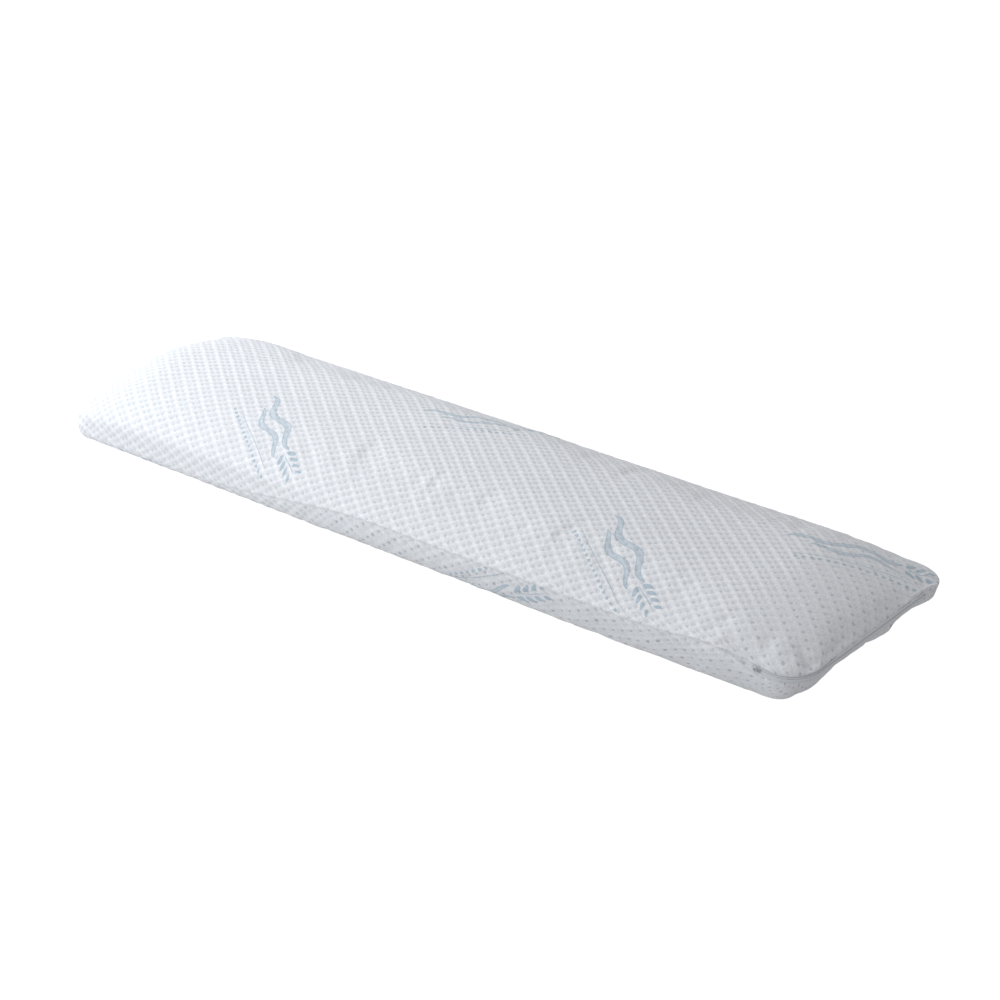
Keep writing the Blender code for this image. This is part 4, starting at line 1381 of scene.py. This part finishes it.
class PILLOW_OT_stage(bpy.types.Operator):
    """Sets up the pale floor, the soft light and the camera"""
    bl_idname = "pillow.make_stage"
    bl_label = "Make Stage"

    def execute(self, context):
        look = context.scene.pillow_stage
        deselect_all()
        bpy.ops.mesh.primitive_plane_add(size=24, location=(0, 0, -0.0006))
        floor = just_added("floor")
        _, shader = new_material("pale floor", 0.9, colour=(0.1, 0.1, 0.1))
        shader["Emission Color"].default_value = (1, 1, 1, 1)
        shader["Emission Strength"].default_value = look.floor_glow
        floor.data.materials.append(bpy.data.materials["pale floor"])
        floor.visible_diffuse = floor.visible_glossy = floor.visible_shadow = False
        world = bpy.data.worlds.new("room")
        context.scene.world = world
        world.use_nodes = True
        room = world.node_tree.nodes["Background"].inputs
        room["Color"].default_value = (*WHITE, 1)
        room["Strength"].default_value = look.world_strength
        cool = look.cool_tint
        soft_light("key_light", (-1.05, 0.25, 0.75), (-0.45, 0.0, 0.05), 0.8, look.key_power, cool)
        soft_light("side_light", (-1.25, -1.35, 0.55), (-0.45, -0.1, 0.05), 0.8, look.side_power, cool)
        soft_light("front_light", (0.0, -2.6, 1.0), (0.0, 0.0, 0.05), 1.6, look.front_power, WHITE)
        soft_light("top_light", (-0.7, 0.2, 2.6), (-0.3, 0.0, 0.0), 1.6, look.top_power, WHITE)
        context.scene.view_settings.view_transform = "Standard"
        place_camera(look)
        return {"FINISHED"}


def soft_light(name, place, target, size, power, colour):
    light = bpy.data.lights.new(name, "AREA")
    light.shape, light.size, light.energy, light.color = "DISK", size, power, colour
    made = new_object(name, light)
    made.location = place
    made.rotation_euler = (Vector(target) - Vector(place)).to_track_quat("-Z", "Y").to_euler()


def place_camera(look):
    """The camera stands at an azimuth and elevation, turned a little about its line of sight."""
    sin_a, cos_a = math.sin(look.azimuth), math.cos(look.azimuth)
    sin_e, cos_e = math.sin(look.elevation), math.cos(look.elevation)
    back = Vector((sin_a * cos_e, -cos_a * cos_e, sin_e))
    right = Vector((cos_a, sin_a, 0.0))
    up = back.cross(right)
    turned_right = right * math.cos(look.roll) + up * math.sin(look.roll)
    turned_up = up * math.cos(look.roll) - right * math.sin(look.roll)
    lens = bpy.data.cameras.new("camera")
    lens.sensor_width, lens.lens = 36.0, look.lens
    lens.shift_x, lens.shift_y = CAMERA_SHIFT
    camera = new_object("camera", lens)
    turned = Matrix((turned_right, turned_up, back)).transposed().to_4x4()
    camera.matrix_world = Matrix.Translation(Vector(CAMERA_TARGET) + back * look.distance) @ turned
    bpy.context.scene.camera = camera


class PILLOW_PT_panel(bpy.types.Panel):
    """Lists the steps that dress the pillow, and what can be changed"""
    bl_label = "Pillow"
    bl_idname = "PILLOW_PT_panel"
    bl_space_type = "VIEW_3D"
    bl_region_type = "UI"
    bl_category = "Pillow"

    def draw(self, context):
        for step in STEPS:
            self.layout.operator(step.bl_idname)
        for look in (context.scene.pillow_knit, context.scene.pillow_print, context.scene.pillow_stage):
            box = self.layout.box()
            for name in look.__annotations__:
                box.prop(look, name)


LOOKS = {"pillow_knit": PillowKnitLook, "pillow_print": PillowPrintLook, "pillow_stage": PillowStageLook}
STEPS = (PILLOW_OT_materials, PILLOW_OT_cover, PILLOW_OT_seam, PILLOW_OT_zip, PILLOW_OT_stage)


def register():
    for kind in (*LOOKS.values(), *STEPS, PILLOW_PT_panel):
        bpy.utils.register_class(kind)
    for name, kind in LOOKS.items():
        setattr(bpy.types.Scene, name, bpy.props.PointerProperty(type=kind))


def unregister():
    for name in LOOKS:
        delattr(bpy.types.Scene, name)
    for kind in (PILLOW_PT_panel, *reversed(STEPS), *LOOKS.values()):
        bpy.utils.unregister_class(kind)


def main():
    register()
    bpy.ops.pillow.make_materials()
    bpy.ops.pillow.make_cover()
    bpy.ops.pillow.make_seam()
    bpy.ops.pillow.make_zip()
    bpy.ops.pillow.make_stage()


if __name__ == "__main__":
    main()
